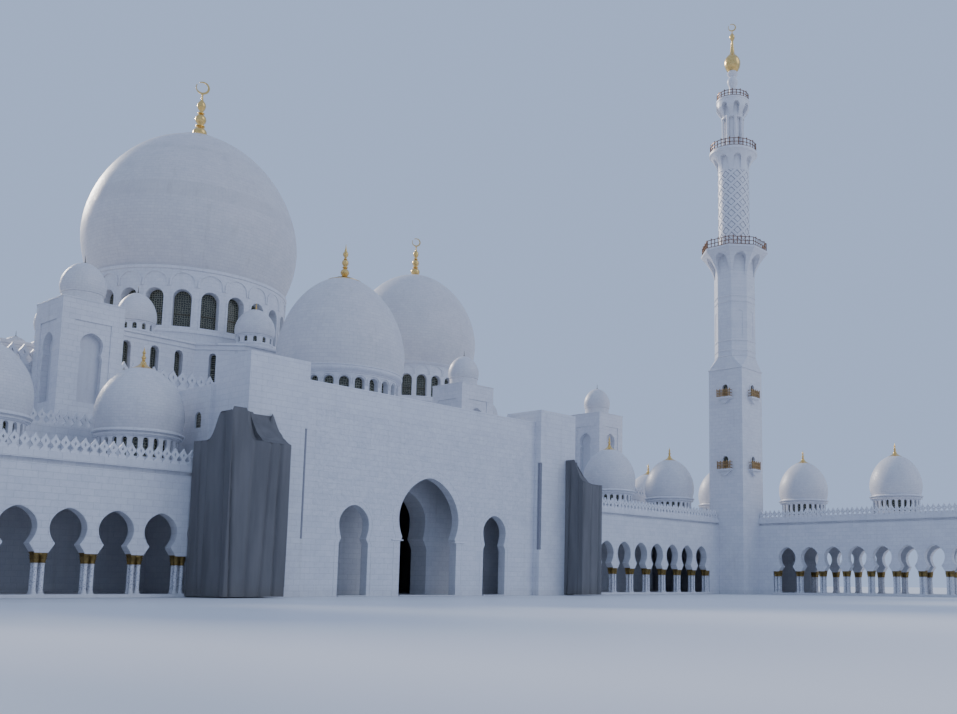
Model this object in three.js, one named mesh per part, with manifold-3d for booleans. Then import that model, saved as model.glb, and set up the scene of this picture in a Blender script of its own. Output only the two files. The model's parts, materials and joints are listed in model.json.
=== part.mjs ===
// A domed mosque round an open court: a portal between two pylons, a domed hall
// behind it, an arcaded wing on each side, a side arcade in front of each wing's
// end, and a tall tower in each corner. Lengths below are metres of the real
// building; every finished piece is scaled to a 1:10 model in millimetres.
// X runs along the portal wall, Y into the building, Z up. The origin is on the
// ground under the middle of the main arch, in the face of the portal wall.
import * as THREE from 'three';
import { mergeVertices } from 'three/addons/utils/BufferGeometryUtils.js';
import { ConvexGeometry } from 'three/addons/geometries/ConvexGeometry.js';
import Module from 'manifold-3d';

const wasm = await Module();
wasm.setup();

const modelScale = 100; // model millimetres for each real metre, which is 1:10
const clear = 0.004; // gap between curved pieces that stand one in the other
const below = -1; // how far cutting shapes reach under the ground

// Portal and its hall
const portalHalf = 18.505;
const portalTop = 23.48;
const portalWall = 1.2;
const pylonWidth = 7.183;
const pylonFront = -1.088;
const pylonBack = 5.44;
const pylonTop = 25.2;
const chase = { width: 0.34, depth: 0.5, low: 6.1, high: 17.9 };
const mainArch = { jamb: 4.46, jambTop: 6.3, neck: 4.16, neckZ: 6.9, wide: 4.72, wideZ: 9.2, apex: 14.2 };
const sideArch = { jamb: 2.0, jambTop: 5.9, neck: 1.7, neckZ: 6.45, wide: 2.05, wideZ: 8.15, apex: 10.25 };
const sideArchX = 11.105;
const innerWall = { front: 6, back: 9 };
const innerArch = { jamb: 4.9, jambTop: 5.9, neck: 4.2, neckZ: 7.1, wide: 4.55, wideZ: 9.5, apex: 13.4 };
const foyerHalf = 26.2;
const foyerBack = 32.3;
const foyerTop = 22.3;
const floorTop = 0.12;
const sillStep = 0.2;
const sillGap = 0.1;
const foyerWindow = { y: 7.7, low: 17.8, high: 19.55, half: 0.62 };

// Arcades: one bay, the wall over it and the columns under it
const bay = 4.304;
const arcadeArch = {
  jamb: 1.55, jambTop: 4.05, neck: 1.06, neckZ: 4.82, wide: 1.64, wideZ: 6.3, apex: 8.067,
};
const arcadeWall = 1.2;
const arcadeTop = 13.4;
const groove = { low: 11.88, high: 12.3, depth: 0.12 };
const capitalTop = 4.07;
const capitalHeight = 0.62;
const plinthTop = 0.32;
const plinthStep = 0.2;
const columnRadius = 0.22;
const columnOffset = 0.3;
const wingFront = 1.848;
const wingBack = 16.9;
const wingFirst = 28.144;
const wingBays = 9;
const sideInner = 73.53;
const sideOuter = 88.55;
const sideFirst = -8.53;
const sideBays = 8;
const sideBack = 35.3;
const roofThick = 0.8;

// Prayer hall in three storeys
const hallHalf = 69.1;
const hallWall = 1.2;
const hallBack = 94;
const lowerTop = 17.6;
const upperFront = 31.1;
const upperTop = 26.4;
const clerestory = { half: 23.1, front: 37.4, back: 83.5, top: 34.4 };
const middleBay = { frontHalf: 6.36, backHalf: 10.9, front: 32.3 };
const clerestoryWall = 1;
const clerestoryWindow = { half: 0.6, cantedHalf: 0.49, low: 28.9, top: 33.0 };
const flankStorey = { inner: 31, outer: 65.2, front: 36, back: 85, top: 30 };

// Towers
const minaretX = 71.666;
const minaretY = 0.337;
const minaretHalf = 3.432;
const octagonRadius = 3.72;
const balcony = { half: 1.45, reach: 0.84, thick: 0.35, bracket: 1.25, bracketHalf: 1.05 };

// Domes and glazing
const domeSharpness = 1.86;
const glassThick = 0.12;
const glassGap = 0.1; // between the top of a ring of glass and the dome's foot

const marble = { color: 0xd9d8dc, roughness: 0.55, metalness: 0 };
const domeMarble = { color: 0xd4d0cf, roughness: 0.6, metalness: 0 };
const gold = { color: 0xb8872f, roughness: 0.3, metalness: 1 };
const lattice = { color: 0x23261f, roughness: 0.25, metalness: 0 };
const cloth = { color: 0x7d8496, roughness: 0.9, metalness: 0 };

const mosque = new THREE.Group();
mosque.name = 'mosque';

// Solids

function toSolid(geometry) {
  const bare = geometry.index ? geometry.toNonIndexed() : geometry.clone();
  bare.deleteAttribute('normal');
  bare.deleteAttribute('uv');
  const merged = mergeVertices(bare, 1e-5);
  const triangles = [];
  const index = merged.index.array;
  for (let i = 0; i < index.length; i += 3) {
    const [a, b, c] = [index[i], index[i + 1], index[i + 2]];
    if (a !== b && b !== c && c !== a) triangles.push(a, b, c);
  }
  return new wasm.Manifold(new wasm.Mesh({
    numProp: 3,
    vertProperties: merged.attributes.position.array,
    triVerts: Uint32Array.from(triangles),
  }));
}

function addPiece(name, solid, look) {
  const mesh = solid.getMesh();
  const geometry = new THREE.BufferGeometry();
  geometry.setAttribute('position', new THREE.BufferAttribute(mesh.vertProperties, 3));
  geometry.setIndex(new THREE.BufferAttribute(mesh.triVerts, 1));
  geometry.scale(modelScale, modelScale, modelScale);
  geometry.computeVertexNormals();
  const piece = new THREE.Mesh(geometry, new THREE.MeshStandardMaterial(look));
  piece.name = name;
  mosque.add(piece);
}

function join(solids) {
  return solids.reduce((all, solid) => all.add(solid));
}

function cut(solid, cutters) {
  return cutters.reduce((rest, cutter) => rest.subtract(cutter), solid);
}

// One side of the building as built, or the other as its mirror image
function onSide(side, solid) {
  return side > 0 ? solid : solid.mirror([1, 0, 0]);
}

function addPair(name, solid, look) {
  addPiece(`right_${name}`, onSide(1, solid), look);
  addPiece(`left_${name}`, onSide(-1, solid), look);
}

// Moves every point of a geometry to where place sends it, exactly
function placed(geometry, place) {
  const position = geometry.attributes.position;
  for (let i = 0; i < position.count; i += 1) {
    position.setXYZ(i, ...place(position.getX(i), position.getY(i), position.getZ(i)));
  }
  return toSolid(geometry);
}

function block(x0, x1, y0, y1, z0, z1) {
  const corner = (x, y, z) => [x > 0 ? x1 : x0, y > 0 ? y1 : y0, z > 0 ? z1 : z0];
  return placed(new THREE.BoxGeometry(1, 1, 1), corner);
}

function turned(points, sides, x = 0, y = 0, phase = 0) {
  const profile = points.map(([radius, z]) => new THREE.Vector2(radius, z));
  const body = new THREE.LatheGeometry(profile, sides);
  body.rotateY(phase);
  body.rotateX(Math.PI / 2);
  body.translate(x, y, 0);
  return toSolid(body);
}

function extruded(shape) {
  return new THREE.ExtrudeGeometry(shape, { depth: 1, bevelEnabled: false, curveSegments: 8 });
}

// A shape drawn in x and z, as thick as from y0 to y1
function alongY(shape, y0, y1) {
  return placed(extruded(shape), (x, y, z) => [x, z > 0.5 ? y0 : y1, y]);
}

// A shape drawn in y and z, as thick as from x0 to x1
function alongX(shape, x0, x1) {
  return placed(extruded(shape), (x, y, z) => [z > 0.5 ? x1 : x0, x, y]);
}

// Arches

// Right half of a keyhole arch from its foot to its point: a straight jamb, a
// corbel in to the neck, an arc out to the widest line and one up to the apex
function archHalf(arch, foot, steps) {
  const points = [[arch.jamb, foot], [arch.jamb, arch.jambTop]];
  const drop = arch.wideZ - arch.neckZ;
  const lowerShift = (drop ** 2 + arch.neck ** 2 - arch.wide ** 2) / (2 * (arch.wide - arch.neck));
  const lowerRadius = arch.wide + lowerShift;
  const lowerAngle = Math.asin(drop / lowerRadius);
  for (let i = 0; i < steps.lower; i += 1) {
    const angle = -lowerAngle * (1 - i / steps.lower);
    points.push([lowerRadius * Math.cos(angle) - lowerShift, arch.wideZ + lowerRadius * Math.sin(angle)]);
  }
  const rise = arch.apex - arch.wideZ;
  const upperShift = (rise ** 2 - arch.wide ** 2) / (2 * arch.wide);
  const upperRadius = arch.wide + upperShift;
  const upperAngle = Math.asin(rise / upperRadius);
  for (let i = 0; i <= steps.upper; i += 1) {
    const angle = upperAngle * (i / steps.upper);
    points.push([upperRadius * Math.cos(angle) - upperShift, arch.wideZ + upperRadius * Math.sin(angle)]);
  }
  return points;
}

function keyhole(arch, centre, foot, steps = { lower: 1, upper: 3 }) {
  const right = archHalf(arch, foot, steps);
  const left = right.slice(0, -1).reverse().map(([x, z]) => [-x, z]);
  const outline = [...right, ...left].map(([x, z]) => new THREE.Vector2(centre + x, z));
  return new THREE.Shape(outline);
}

function roundWindow(centre, half, low, spring, steps = 3) {
  const outline = [new THREE.Vector2(centre - half, low), new THREE.Vector2(centre + half, low)];
  for (let i = 0; i <= 2 * steps; i += 1) {
    const angle = (Math.PI * i) / (2 * steps);
    outline.push(new THREE.Vector2(centre + half * Math.cos(angle), spring + half * Math.sin(angle)));
  }
  return new THREE.Shape(outline);
}

// Domes

// Half width of a dome at a height over or under its widest line
function domeAcross({ radius, height }, rise) {
  return radius * (1 - (rise / height) ** domeSharpness) ** (1 / domeSharpness);
}

// Outline of a dome from its foot to its crown, a little pointed at the crown
function domeCurve(dome, rows, under = 1) {
  const { height, middle, foot } = dome;
  const points = [];
  for (let i = 0; i < under; i += 1) {
    const drop = (middle - foot) * (1 - i / under);
    points.push([domeAcross(dome, drop), middle - drop]);
  }
  for (let i = 0; i < rows; i += 1) {
    const rise = height * Math.sin((Math.PI / 2) * (i / rows));
    points.push([domeAcross(dome, rise), middle + rise]);
  }
  return [...points, [0, middle + height]];
}

// The same dome as a shell, with its outline repeated inside at the thickness
function domeShell(dome, sides, x, y) {
  const outside = domeCurve(dome, dome.rows, dome.under);
  const inner = {
    radius: dome.radius - dome.wall,
    height: dome.height - dome.wall,
    middle: dome.middle,
    foot: dome.foot,
  };
  const inside = domeCurve(inner, 3, dome.under).reverse();
  return turned([...inside, ...outside], sides, x, y);
}

// How far a drum's ring is turned so that each of its flat sides holds a window
function drumPhase({ window }) {
  return ((window.shift + 0.5) * 2 * Math.PI) / window.count;
}

// Shells with windows under the four large domes
function drum(measures, x, y) {
  const { radius, wall, low, high, window } = measures;
  const ring = turned([
    [radius, low], [radius, high], [radius - wall, high], [radius - wall, low], [radius, low],
  ], window.count, x, y, drumPhase(measures));
  const cutters = [];
  for (let i = 0; i < window.count; i += 1) {
    const spring = window.top - window.half;
    const hole = alongY(roundWindow(0, window.half, window.low, spring, 1), -radius - 1, -radius + wall + 1);
    cutters.push(hole.rotate([0, 0, (360 * (i + window.shift)) / window.count]).translate([x, y, 0]));
  }
  return cut(ring, [join(cutters)]);
}

function glassRing(measures, x, y) {
  const { radius, wall, low, high, window } = measures;
  const outer = radius - wall - clear;
  const inner = outer - glassThick;
  const top = high - glassGap;
  return turned([
    [outer, low], [outer, top], [inner, top], [inner, low], [outer, low],
  ], window.count, x, y, drumPhase(measures));
}

function goldFinial(x, y, foot, top, capRadius, sides = 6) {
  const rise = top - foot;
  const ball = capRadius * 0.34;
  return turned([
    [0, foot], [capRadius, foot], [capRadius * 0.8, foot + rise * 0.03],
    [capRadius * 0.22, foot + rise * 0.1],
    [capRadius * 0.12, foot + rise * 0.2], [ball, foot + rise * 0.27], [capRadius * 0.1, foot + rise * 0.34],
    [ball * 0.85, foot + rise * 0.41], [capRadius * 0.08, foot + rise * 0.48],
    [ball * 0.6, foot + rise * 0.53], [capRadius * 0.05, foot + rise * 0.6],
    [capRadius * 0.03, top], [0, top],
  ], sides, x, y);
}

const mainDome = {
  x: 0, y: 60.47, radius: 16.45, height: 18.55, middle: 56.2, foot: 48.3, wall: 0.7, rows: 8, under: 3,
};
const flankDome = {
  x: 47.3, y: 60.5, radius: 12.4, height: 14.3, middle: 48.7, foot: 43.1, wall: 0.8, rows: 6, under: 2,
};
const foyerDome = {
  x: 0, y: 19.0, radius: 8.45, height: 11.3, middle: 31.6, foot: 29.3, wall: 0.6, rows: 6, under: 1,
};
const mainDrum = {
  radius: 15.0, wall: 1, low: 34.4, high: 48.3, eye: 13.7,
  window: { count: 24, half: 1.3, low: 39.05, top: 44.75, shift: 0.9 },
};
const flankDrum = {
  radius: 10.8, wall: 0.9, low: 30, high: 43.1, eye: 9.6,
  window: { count: 24, half: 0.98, low: 36.5, top: 40.7, shift: 0 },
};
const foyerDrum = {
  radius: 7.6, wall: 0.7, low: 22.3, high: 28.4, eye: 6.7,
  window: { count: 24, half: 0.66, low: 25.2, top: 27.9, shift: 0.85 },
};

function cappedShell(dome, capRadius, sides) {
  const shell = domeShell(dome, sides, dome.x, dome.y);
  const across = (capRadius / dome.radius) ** domeSharpness;
  const level = dome.middle + dome.height * (1 - across) ** (1 / domeSharpness);
  const reach = dome.radius + 1;
  const lid = block(dome.x - reach, dome.x + reach, dome.y - reach, dome.y + reach, level, level + 9);
  return { shell: shell.subtract(lid), level };
}

function largeDomes() {
  const main = cappedShell(mainDome, 1.6, 24);
  addPiece('main_drum', drum(mainDrum, 0, mainDome.y), marble);
  addPiece('main_drum_glass', glassRing(mainDrum, 0, mainDome.y), lattice);
  addPiece('main_dome', main.shell, domeMarble);
  addPiece('main_dome_finial', goldFinial(0, mainDome.y, main.level, 85, 1.6), gold);

  const flank = cappedShell(flankDome, 1.3, 20);
  addPair('flank_drum', drum(flankDrum, flankDome.x, flankDome.y), marble);
  addPair('flank_drum_glass', glassRing(flankDrum, flankDome.x, flankDome.y), lattice);
  addPair('flank_dome', flank.shell, domeMarble);
  addPair('flank_dome_finial', goldFinial(flankDome.x, flankDome.y, flank.level, 70.9, 1.3), gold);

  const foyer = cappedShell(foyerDome, 1.15, 24);
  const ring = turned([
    [6.9, 28.3], [7.6, 28.4], [8.25, 28.75], [8.25, 29.05], [8.22, 29.3], [6.9, 29.3], [6.9, 28.3],
  ], 24, 0, foyerDome.y, drumPhase(foyerDrum));
  addPiece('foyer_drum', join([drum(foyerDrum, 0, foyerDome.y), ring]), marble);
  addPiece('foyer_drum_glass', glassRing(foyerDrum, 0, foyerDome.y), lattice);
  addPiece('foyer_dome', foyer.shell, domeMarble);
  addPiece('foyer_dome_finial', goldFinial(0, foyerDome.y, foyer.level, 48, 1.15), gold);
}

// A small dome on a low drum, solid, to be joined to the roof that carries it
function smallDome(x, y, { base, foot, crown, radius }) {
  const middle = foot + radius * 0.3;
  const curve = domeCurve({ radius, height: crown - middle, middle, foot }, 4);
  const sunk = 0.2;
  return turned([[0, base - sunk], [radius * 0.9, base - sunk], [radius * 0.9, foot], ...curve], 10, x, y);
}

// Portal

function portal() {
  const wall = block(-portalHalf, portalHalf, 0, portalWall, 0, portalTop);
  const arches = [
    alongY(keyhole(mainArch, 0, below, { lower: 2, upper: 6 }), -1, portalWall + 1),
    alongY(keyhole(sideArch, sideArchX, below, { lower: 2, upper: 4 }), -1, portalWall + 1),
    alongY(keyhole(sideArch, -sideArchX, below, { lower: 2, upper: 4 }), -1, portalWall + 1),
  ];
  addPiece('portal_wall', cut(wall, arches), marble);

  const outer = portalHalf + pylonWidth;
  const tower = block(portalHalf, outer, pylonFront, pylonBack, 0, pylonTop);
  const slot = block(portalHalf - 1, portalHalf + chase.width, pylonFront - 1, pylonFront + chase.depth,
    chase.low, chase.high);
  addPair('pylon', cut(tower, [slot]), marble);

  const inner = block(-portalHalf, portalHalf, innerWall.front, innerWall.back, 0, foyerTop - 1);
  const innerShapes = [
    keyhole(innerArch, 0, below, { lower: 2, upper: 5 }),
    keyhole(sideArch, sideArchX, below, { lower: 2, upper: 4 }),
    keyhole(sideArch, -sideArchX, below, { lower: 2, upper: 4 }),
  ];
  const innerArches = innerShapes.map((shape) => alongY(shape, innerWall.front - 1, innerWall.back + 1));
  const floor = block(-portalHalf, portalHalf, portalWall, wingBack, 0, floorTop);
  const doorways = [[0, mainArch.jamb], [sideArchX, sideArch.jamb], [-sideArchX, sideArch.jamb]];
  const sills = doorways.map(([x, half]) => (
    block(x - half + sillGap, x + half - sillGap, -sillStep, portalWall + 1, 0, floorTop)
  ));
  addPiece('foyer_arch_wall', join([cut(inner, innerArches), floor, ...sills]), marble);
}

// What is cut out of the roof under a large dome
function roofEye({ eye, low }, x, y, sides) {
  return turned([[0, low - 3], [eye, low - 3], [eye, low + 2], [0, low + 2]], sides, x, y);
}

function foyer() {
  const side = block(foyerHalf - hallWall, foyerHalf, pylonBack, foyerBack, 0, foyerTop - 1);
  const { y, half, low, high } = foyerWindow;
  const window = roundWindow(y, half, low, high - half);
  addPair('foyer_side_wall', cut(side, [alongX(window, foyerHalf - 3, foyerHalf + 1)]), marble);

  const roof = join([
    block(-foyerHalf, foyerHalf, pylonBack, foyerBack, foyerTop - 1, foyerTop),
    block(-portalHalf, portalHalf, portalWall, pylonBack + 1, foyerTop - 1, foyerTop),
  ]);
  addPiece('foyer_roof', cut(roof, [roofEye(foyerDrum, 0, foyerDome.y, 24)]), marble);
}

// Prayer hall

function hallWalls() {
  const front = new THREE.Shape([
    [foyerHalf, 0], [hallHalf, 0], [hallHalf, lowerTop], [foyerHalf, lowerTop],
  ].map(([x, z]) => new THREE.Vector2(x, z)));
  const inside = hallHalf - hallWall;
  const lowRoof = block(foyerHalf, inside, wingBack + 0.5, upperFront + hallWall, lowerTop - 1, lowerTop);
  addPair('hall_front_wall', join([alongY(front, wingBack, wingBack + hallWall), lowRoof]), marble);

  const sideShape = new THREE.Shape([
    [wingBack + hallWall, 0], [hallBack, 0], [hallBack, upperTop - 1], [upperFront + hallWall, upperTop - 1],
    [upperFront + hallWall, lowerTop], [wingBack + hallWall, lowerTop],
  ].map(([y, z]) => new THREE.Vector2(y, z)));
  addPair('hall_side_wall', alongX(sideShape, hallHalf - hallWall, hallHalf), marble);

  addPiece('hall_back_wall', block(-inside, inside, hallBack - hallWall, hallBack, 0, upperTop - 1), marble);

  const upper = block(-hallHalf, hallHalf, upperFront, upperFront + hallWall, foyerTop, upperTop - 1);
  const sides = [
    block(foyerHalf, hallHalf, upperFront, upperFront + hallWall, lowerTop, foyerTop + 1),
    block(-hallHalf, -foyerHalf, upperFront, upperFront + hallWall, lowerTop, foyerTop + 1),
  ];
  addPiece('hall_upper_front_wall', join([upper, ...sides]), marble);
}

function hollowStorey(x0, x1, y0, y1, z0, z1) {
  const wall = 1;
  const outer = block(x0, x1, y0, y1, z0, z1);
  return outer.subtract(block(x0 + wall, x1 - wall, y0 + wall, y1 - wall, z0 - 1, z1 - wall));
}

// Ground plan of the clerestory, with the bay in the middle of its front, drawn
// in by an inset so that the faces of its wall are that far apart everywhere
function clerestoryPlan(inset) {
  const { half, front, back } = clerestory;
  const run = middleBay.backHalf - middleBay.frontHalf;
  const depth = front - middleBay.front;
  const shift = (inset * (run - Math.hypot(run, depth))) / depth;
  const right = [
    [middleBay.frontHalf + shift, middleBay.front + inset], [middleBay.backHalf + shift, front + inset],
    [half - inset, front + inset], [half - inset, back - inset],
  ];
  const left = right.map(([x, y]) => [-x, y]).reverse();
  return new THREE.Shape([...right, ...left].map(([x, y]) => new THREE.Vector2(x, y)));
}

function clerestoryPrism(inset, low, high) {
  return placed(extruded(clerestoryPlan(inset)), (x, y, z) => [x, y, z > 0.5 ? high : low]);
}

function clerestoryWindows() {
  const { half, cantedHalf, low, top } = clerestoryWindow;
  const reach = clerestoryWall + 0.6;
  const straight = [13.2, 16.6, 20.4].map((x) => (
    alongY(roundWindow(x, half, low, top - half, 2), clerestory.front - reach, clerestory.front + reach)
  ));
  const run = middleBay.backHalf - middleBay.frontHalf;
  const depth = clerestory.front - middleBay.front;
  const turn = (Math.atan2(depth, run) * 180) / Math.PI;
  const canted = alongY(roundWindow(0, cantedHalf, low, top - cantedHalf, 2), -reach, reach)
    .rotate([0, 0, turn])
    .translate([9.3, middleBay.front + ((9.3 - middleBay.frontHalf) * depth) / run, 0]);
  return join([...straight, canted]);
}

function hallRoofs() {
  const slab = block(-hallHalf, hallHalf, upperFront, hallBack, upperTop - 1, upperTop);
  const { half, front, back, top } = clerestory;
  const pit = block(-half + 1, half - 1, front + 1, back - 1, 20, 30);
  const storey = flankStorey;
  const flank = hollowStorey(storey.inner, storey.outer, storey.front, storey.back, upperTop - 1, storey.top);
  const flankPit = block(storey.inner + 1, storey.outer - 1, storey.front + 1, storey.back - 1,
    20, storey.top - 1);
  const eye = roofEye(flankDrum, flankDome.x, flankDome.y, 12);
  const small = [
    smallDome(48.3, 40.5, { base: storey.top, foot: 31.9, crown: 35.4, radius: 2.4 }),
    smallDome(29.4, 40.5, { base: upperTop, foot: 28.5, crown: 31.7, radius: 2.2 }),
  ];
  const right = join([flank, ...small]);
  const both = join([slab, right, right.mirror([1, 0, 0])]);
  const holes = [pit, flankPit, flankPit.mirror([1, 0, 0]), eye, eye.mirror([1, 0, 0])];
  addPiece('hall_upper_roof', cut(both, holes), marble);

  const walls = clerestoryPrism(0, upperTop, top - 1)
    .subtract(clerestoryPrism(clerestoryWall, upperTop - 1, top));
  const windows = clerestoryWindows();
  addPiece('clerestory_walls', cut(walls, [windows, windows.mirror([1, 0, 0])]), marble);
  const pane = clerestoryPrism(clerestoryWall + clear, upperTop, top - 1.05)
    .subtract(clerestoryPrism(clerestoryWall + glassThick, upperTop - 1, top))
    .subtract(block(-half, half, front + clerestoryWall + glassThick, back, upperTop - 1, top));
  addPiece('clerestory_glass', pane, lattice);

  const lid = clerestoryPrism(0, top - 1, top);
  const mainEye = roofEye(mainDrum, 0, mainDome.y, 24);
  const corner = { base: top, foot: 36.2, crown: 40.4, radius: 2.55 };
  const axial = { base: top, foot: 37.9, crown: 42.1, radius: 2.9 };
  const domes = [
    ...[[-18, 40.3], [18, 40.3], [-18, 80.6], [18, 80.6]].map(([x, y]) => smallDome(x, y, corner)),
    ...[[0, 40.5], [0, 80.5], [-20.1, 60.5], [20.1, 60.5]].map(([x, y]) => smallDome(x, y, axial)),
  ];
  addPiece('clerestory_roof', cut(join([lid, ...domes]), [mainEye]), marble);
}

// Square turrets with a blind keyhole niche in each face and a small cupola
function turret(x, y) {
  const half = 3.52;
  const top = 33.55;
  const low = lowerTop;
  const niche = { jamb: 1.27, jambTop: 26.9, neck: 1.07, neckZ: 27.3, wide: 1.3, wideZ: 28.5, apex: 29.75 };
  const body = block(x - half, x + half, y - half, y + half, low, top);
  const shape = keyhole(niche, 0, 21.6, { lower: 1, upper: 2 });
  const cutters = [0, 90, 180, 270].map((angle) => alongY(shape, -half - 1, -half + 0.8)
    .rotate([0, 0, angle]).translate([x, y, 0]));
  const cupola = smallDome(x, y, { base: top, foot: 35.1, crown: 38.8, radius: 2.5 });
  return join([cut(body, cutters), cupola]);
}

function turrets() {
  addPair('inner_turret', turret(30.6, 27.56), marble);
  addPair('outer_turret', turret(65.55, 27.56), marble);
}

// Arcades

// The wall over a row of arches, its arches open down to the capitals
function archRow(first, count, foot) {
  const shapes = [];
  for (let i = 0; i < count; i += 1) shapes.push(keyhole(arcadeArch, first + i * bay, foot));
  return shapes;
}

function columnPair(x, y, alongWall) {
  const solids = [];
  for (const step of [-columnOffset, columnOffset]) {
    const [cx, cy] = alongWall === 'x' ? [x + step, y] : [x, y + step];
    solids.push(turned([
      [0, plinthTop - 0.1], [columnRadius, plinthTop - 0.1], [columnRadius, capitalTop - capitalHeight + 0.1],
      [0, capitalTop - capitalHeight + 0.1],
    ], 6, cx, cy));
  }
  const wide = columnOffset + columnRadius + 0.08;
  const deep = arcadeWall / 2;
  const low = capitalTop - capitalHeight - 0.01;
  const [hx, hy] = alongWall === 'x' ? [wide, deep] : [deep, wide];
  solids.push(block(x - hx, x + hx, y - hy, y + hy, low, capitalTop));
  return join(solids);
}

function grooveAlong(x0, x1, y0, y1) {
  return block(x0, x1, y0, y1, groove.low, groove.high);
}

function wings() {
  const start = portalHalf + pylonWidth;
  const end = minaretX - minaretHalf;
  const back = wingFront + arcadeWall;
  const firstBay = wingFirst - bay / 2;
  const lastPier = firstBay + wingBays * bay;
  const wall = join([
    block(start, end, wingFront, back, capitalTop, arcadeTop),
    block(lastPier + 0.5, end, wingFront, back, 0, capitalTop + 1),
  ]);
  const arches = archRow(wingFirst, wingBays, below).map((shape) => alongY(shape, wingFront - 1, back + 1));
  const line = grooveAlong(start - 1, end + 1, wingFront - 1, wingFront + groove.depth);
  addPair('wing_wall', cut(wall, [...arches, line]), marble);

  const floor = block(foyerHalf, lastPier + 0.5, wingFront - plinthStep, wingBack, 0, plinthTop);
  const columns = [];
  for (let i = 1; i <= wingBays; i += 1) {
    const x = firstBay + i * bay - (i === wingBays ? 0.1 : 0);
    columns.push(columnPair(x, wingFront + arcadeWall / 2, 'x'));
  }
  addPair('wing_columns', join([floor, ...columns]), marble);

  const under = arcadeTop - roofThick;
  const slab = join([
    block(foyerHalf, sideOuter - arcadeWall, back, wingBack, under, arcadeTop),
    block(hallHalf, sideOuter - arcadeWall, wingBack, sideBack - arcadeWall, under, arcadeTop),
  ]);
  const domes = [31.68, 46.6, 63.86, 81.04].map((x) => arcadeDome(x, 9.36));
  domes.push(arcadeDome(81.04, 26.66));
  addPair('wing_roof', join([slab.subtract(minaretCorner()), ...domes]), marble);
}

// What the corner tower takes out of the roofs that meet it
function minaretCorner() {
  return block(minaretX - minaretHalf, minaretX + minaretHalf, -9, minaretY + minaretHalf, 0, 20);
}

// A dome over every fourth bay: a drum of small openings, a cornice, the dome
function arcadeDome(x, y) {
  const dome = { radius: 4.35, height: 5.28, middle: 18.4, foot: 16.75 };
  const curve = domeCurve(dome, 4);
  return turned([
    [0, arcadeTop - 0.2], [3.8, arcadeTop - 0.2], [3.8, 15.95], [4.35, 16.2], [4.35, 16.65], ...curve,
  ], 12, x, y);
}

function sideArcades() {
  const near = minaretY - minaretHalf;
  const firstBay = sideFirst + bay / 2;
  const end = firstBay - sideBays * bay;
  const innerBack = sideInner + arcadeWall;
  const outerFront = sideOuter - arcadeWall;
  const inner = join([
    block(sideInner, innerBack, end, near, capitalTop, arcadeTop),
    block(sideInner, innerBack, firstBay + 0.5, near, 0, capitalTop + 1),
  ]);
  const shapes = archRow(sideFirst - (sideBays - 1) * bay, sideBays, below);
  const innerArches = shapes.map((shape) => alongX(shape, sideInner - 1, innerBack + 1));
  const line = grooveAlong(sideInner - 1, sideInner + groove.depth, end - 1, near + 1);
  addPair('side_arcade_inner_wall', cut(inner, [...innerArches, line]), marble);

  const outer = join([
    block(outerFront, sideOuter, end, sideBack, capitalTop, arcadeTop),
    block(outerFront, sideOuter, firstBay + 0.5, sideBack, 0, capitalTop + 1),
    block(hallHalf, outerFront + 0.1, sideBack - arcadeWall, sideBack, 0, arcadeTop),
  ]);
  const outerArches = shapes.map((shape) => alongX(shape, outerFront - 1, sideOuter + 1));
  addPair('side_arcade_outer_wall', cut(outer, outerArches), marble);

  const floor = block(sideInner - plinthStep, sideOuter + plinthStep, end, firstBay + 0.5, 0, plinthTop);
  const columns = [];
  for (let i = 0; i <= sideBays; i += 1) {
    const shift = { 0: 0.1, [sideBays]: -0.1 }[i] ?? 0;
    const y = end + i * bay + (i === 0 ? 0.7 : shift);
    columns.push(columnPair(sideInner + arcadeWall / 2, y, 'y'));
    columns.push(columnPair(sideOuter - arcadeWall / 2, y, 'y'));
  }
  addPair('side_arcade_columns', join([floor, ...columns]), marble);

  const slab = block(innerBack, outerFront, end, wingFront + arcadeWall, arcadeTop - roofThick, arcadeTop)
    .subtract(minaretCorner());
  const domes = [-8.02, -25.34].map((y) => arcadeDome(81.04, y));
  addPair('side_arcade_roof', join([slab, ...domes]), marble);
}

// Corner towers

function minaretBalcony(level) {
  const { half, reach, thick, bracket, bracketHalf } = balcony;
  const face = -minaretHalf;
  const corners = [-1, 1].flatMap((side) => [
    [side * half, face - reach, level], [side * half, face - reach, level - thick],
    [side * half, face + 0.2, level], [side * half, face + 0.2, level - thick],
    [side * bracketHalf, face + 0.2, level - bracket],
  ]);
  return toSolid(new ConvexGeometry(corners.map((corner) => new THREE.Vector3(...corner))));
}

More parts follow.
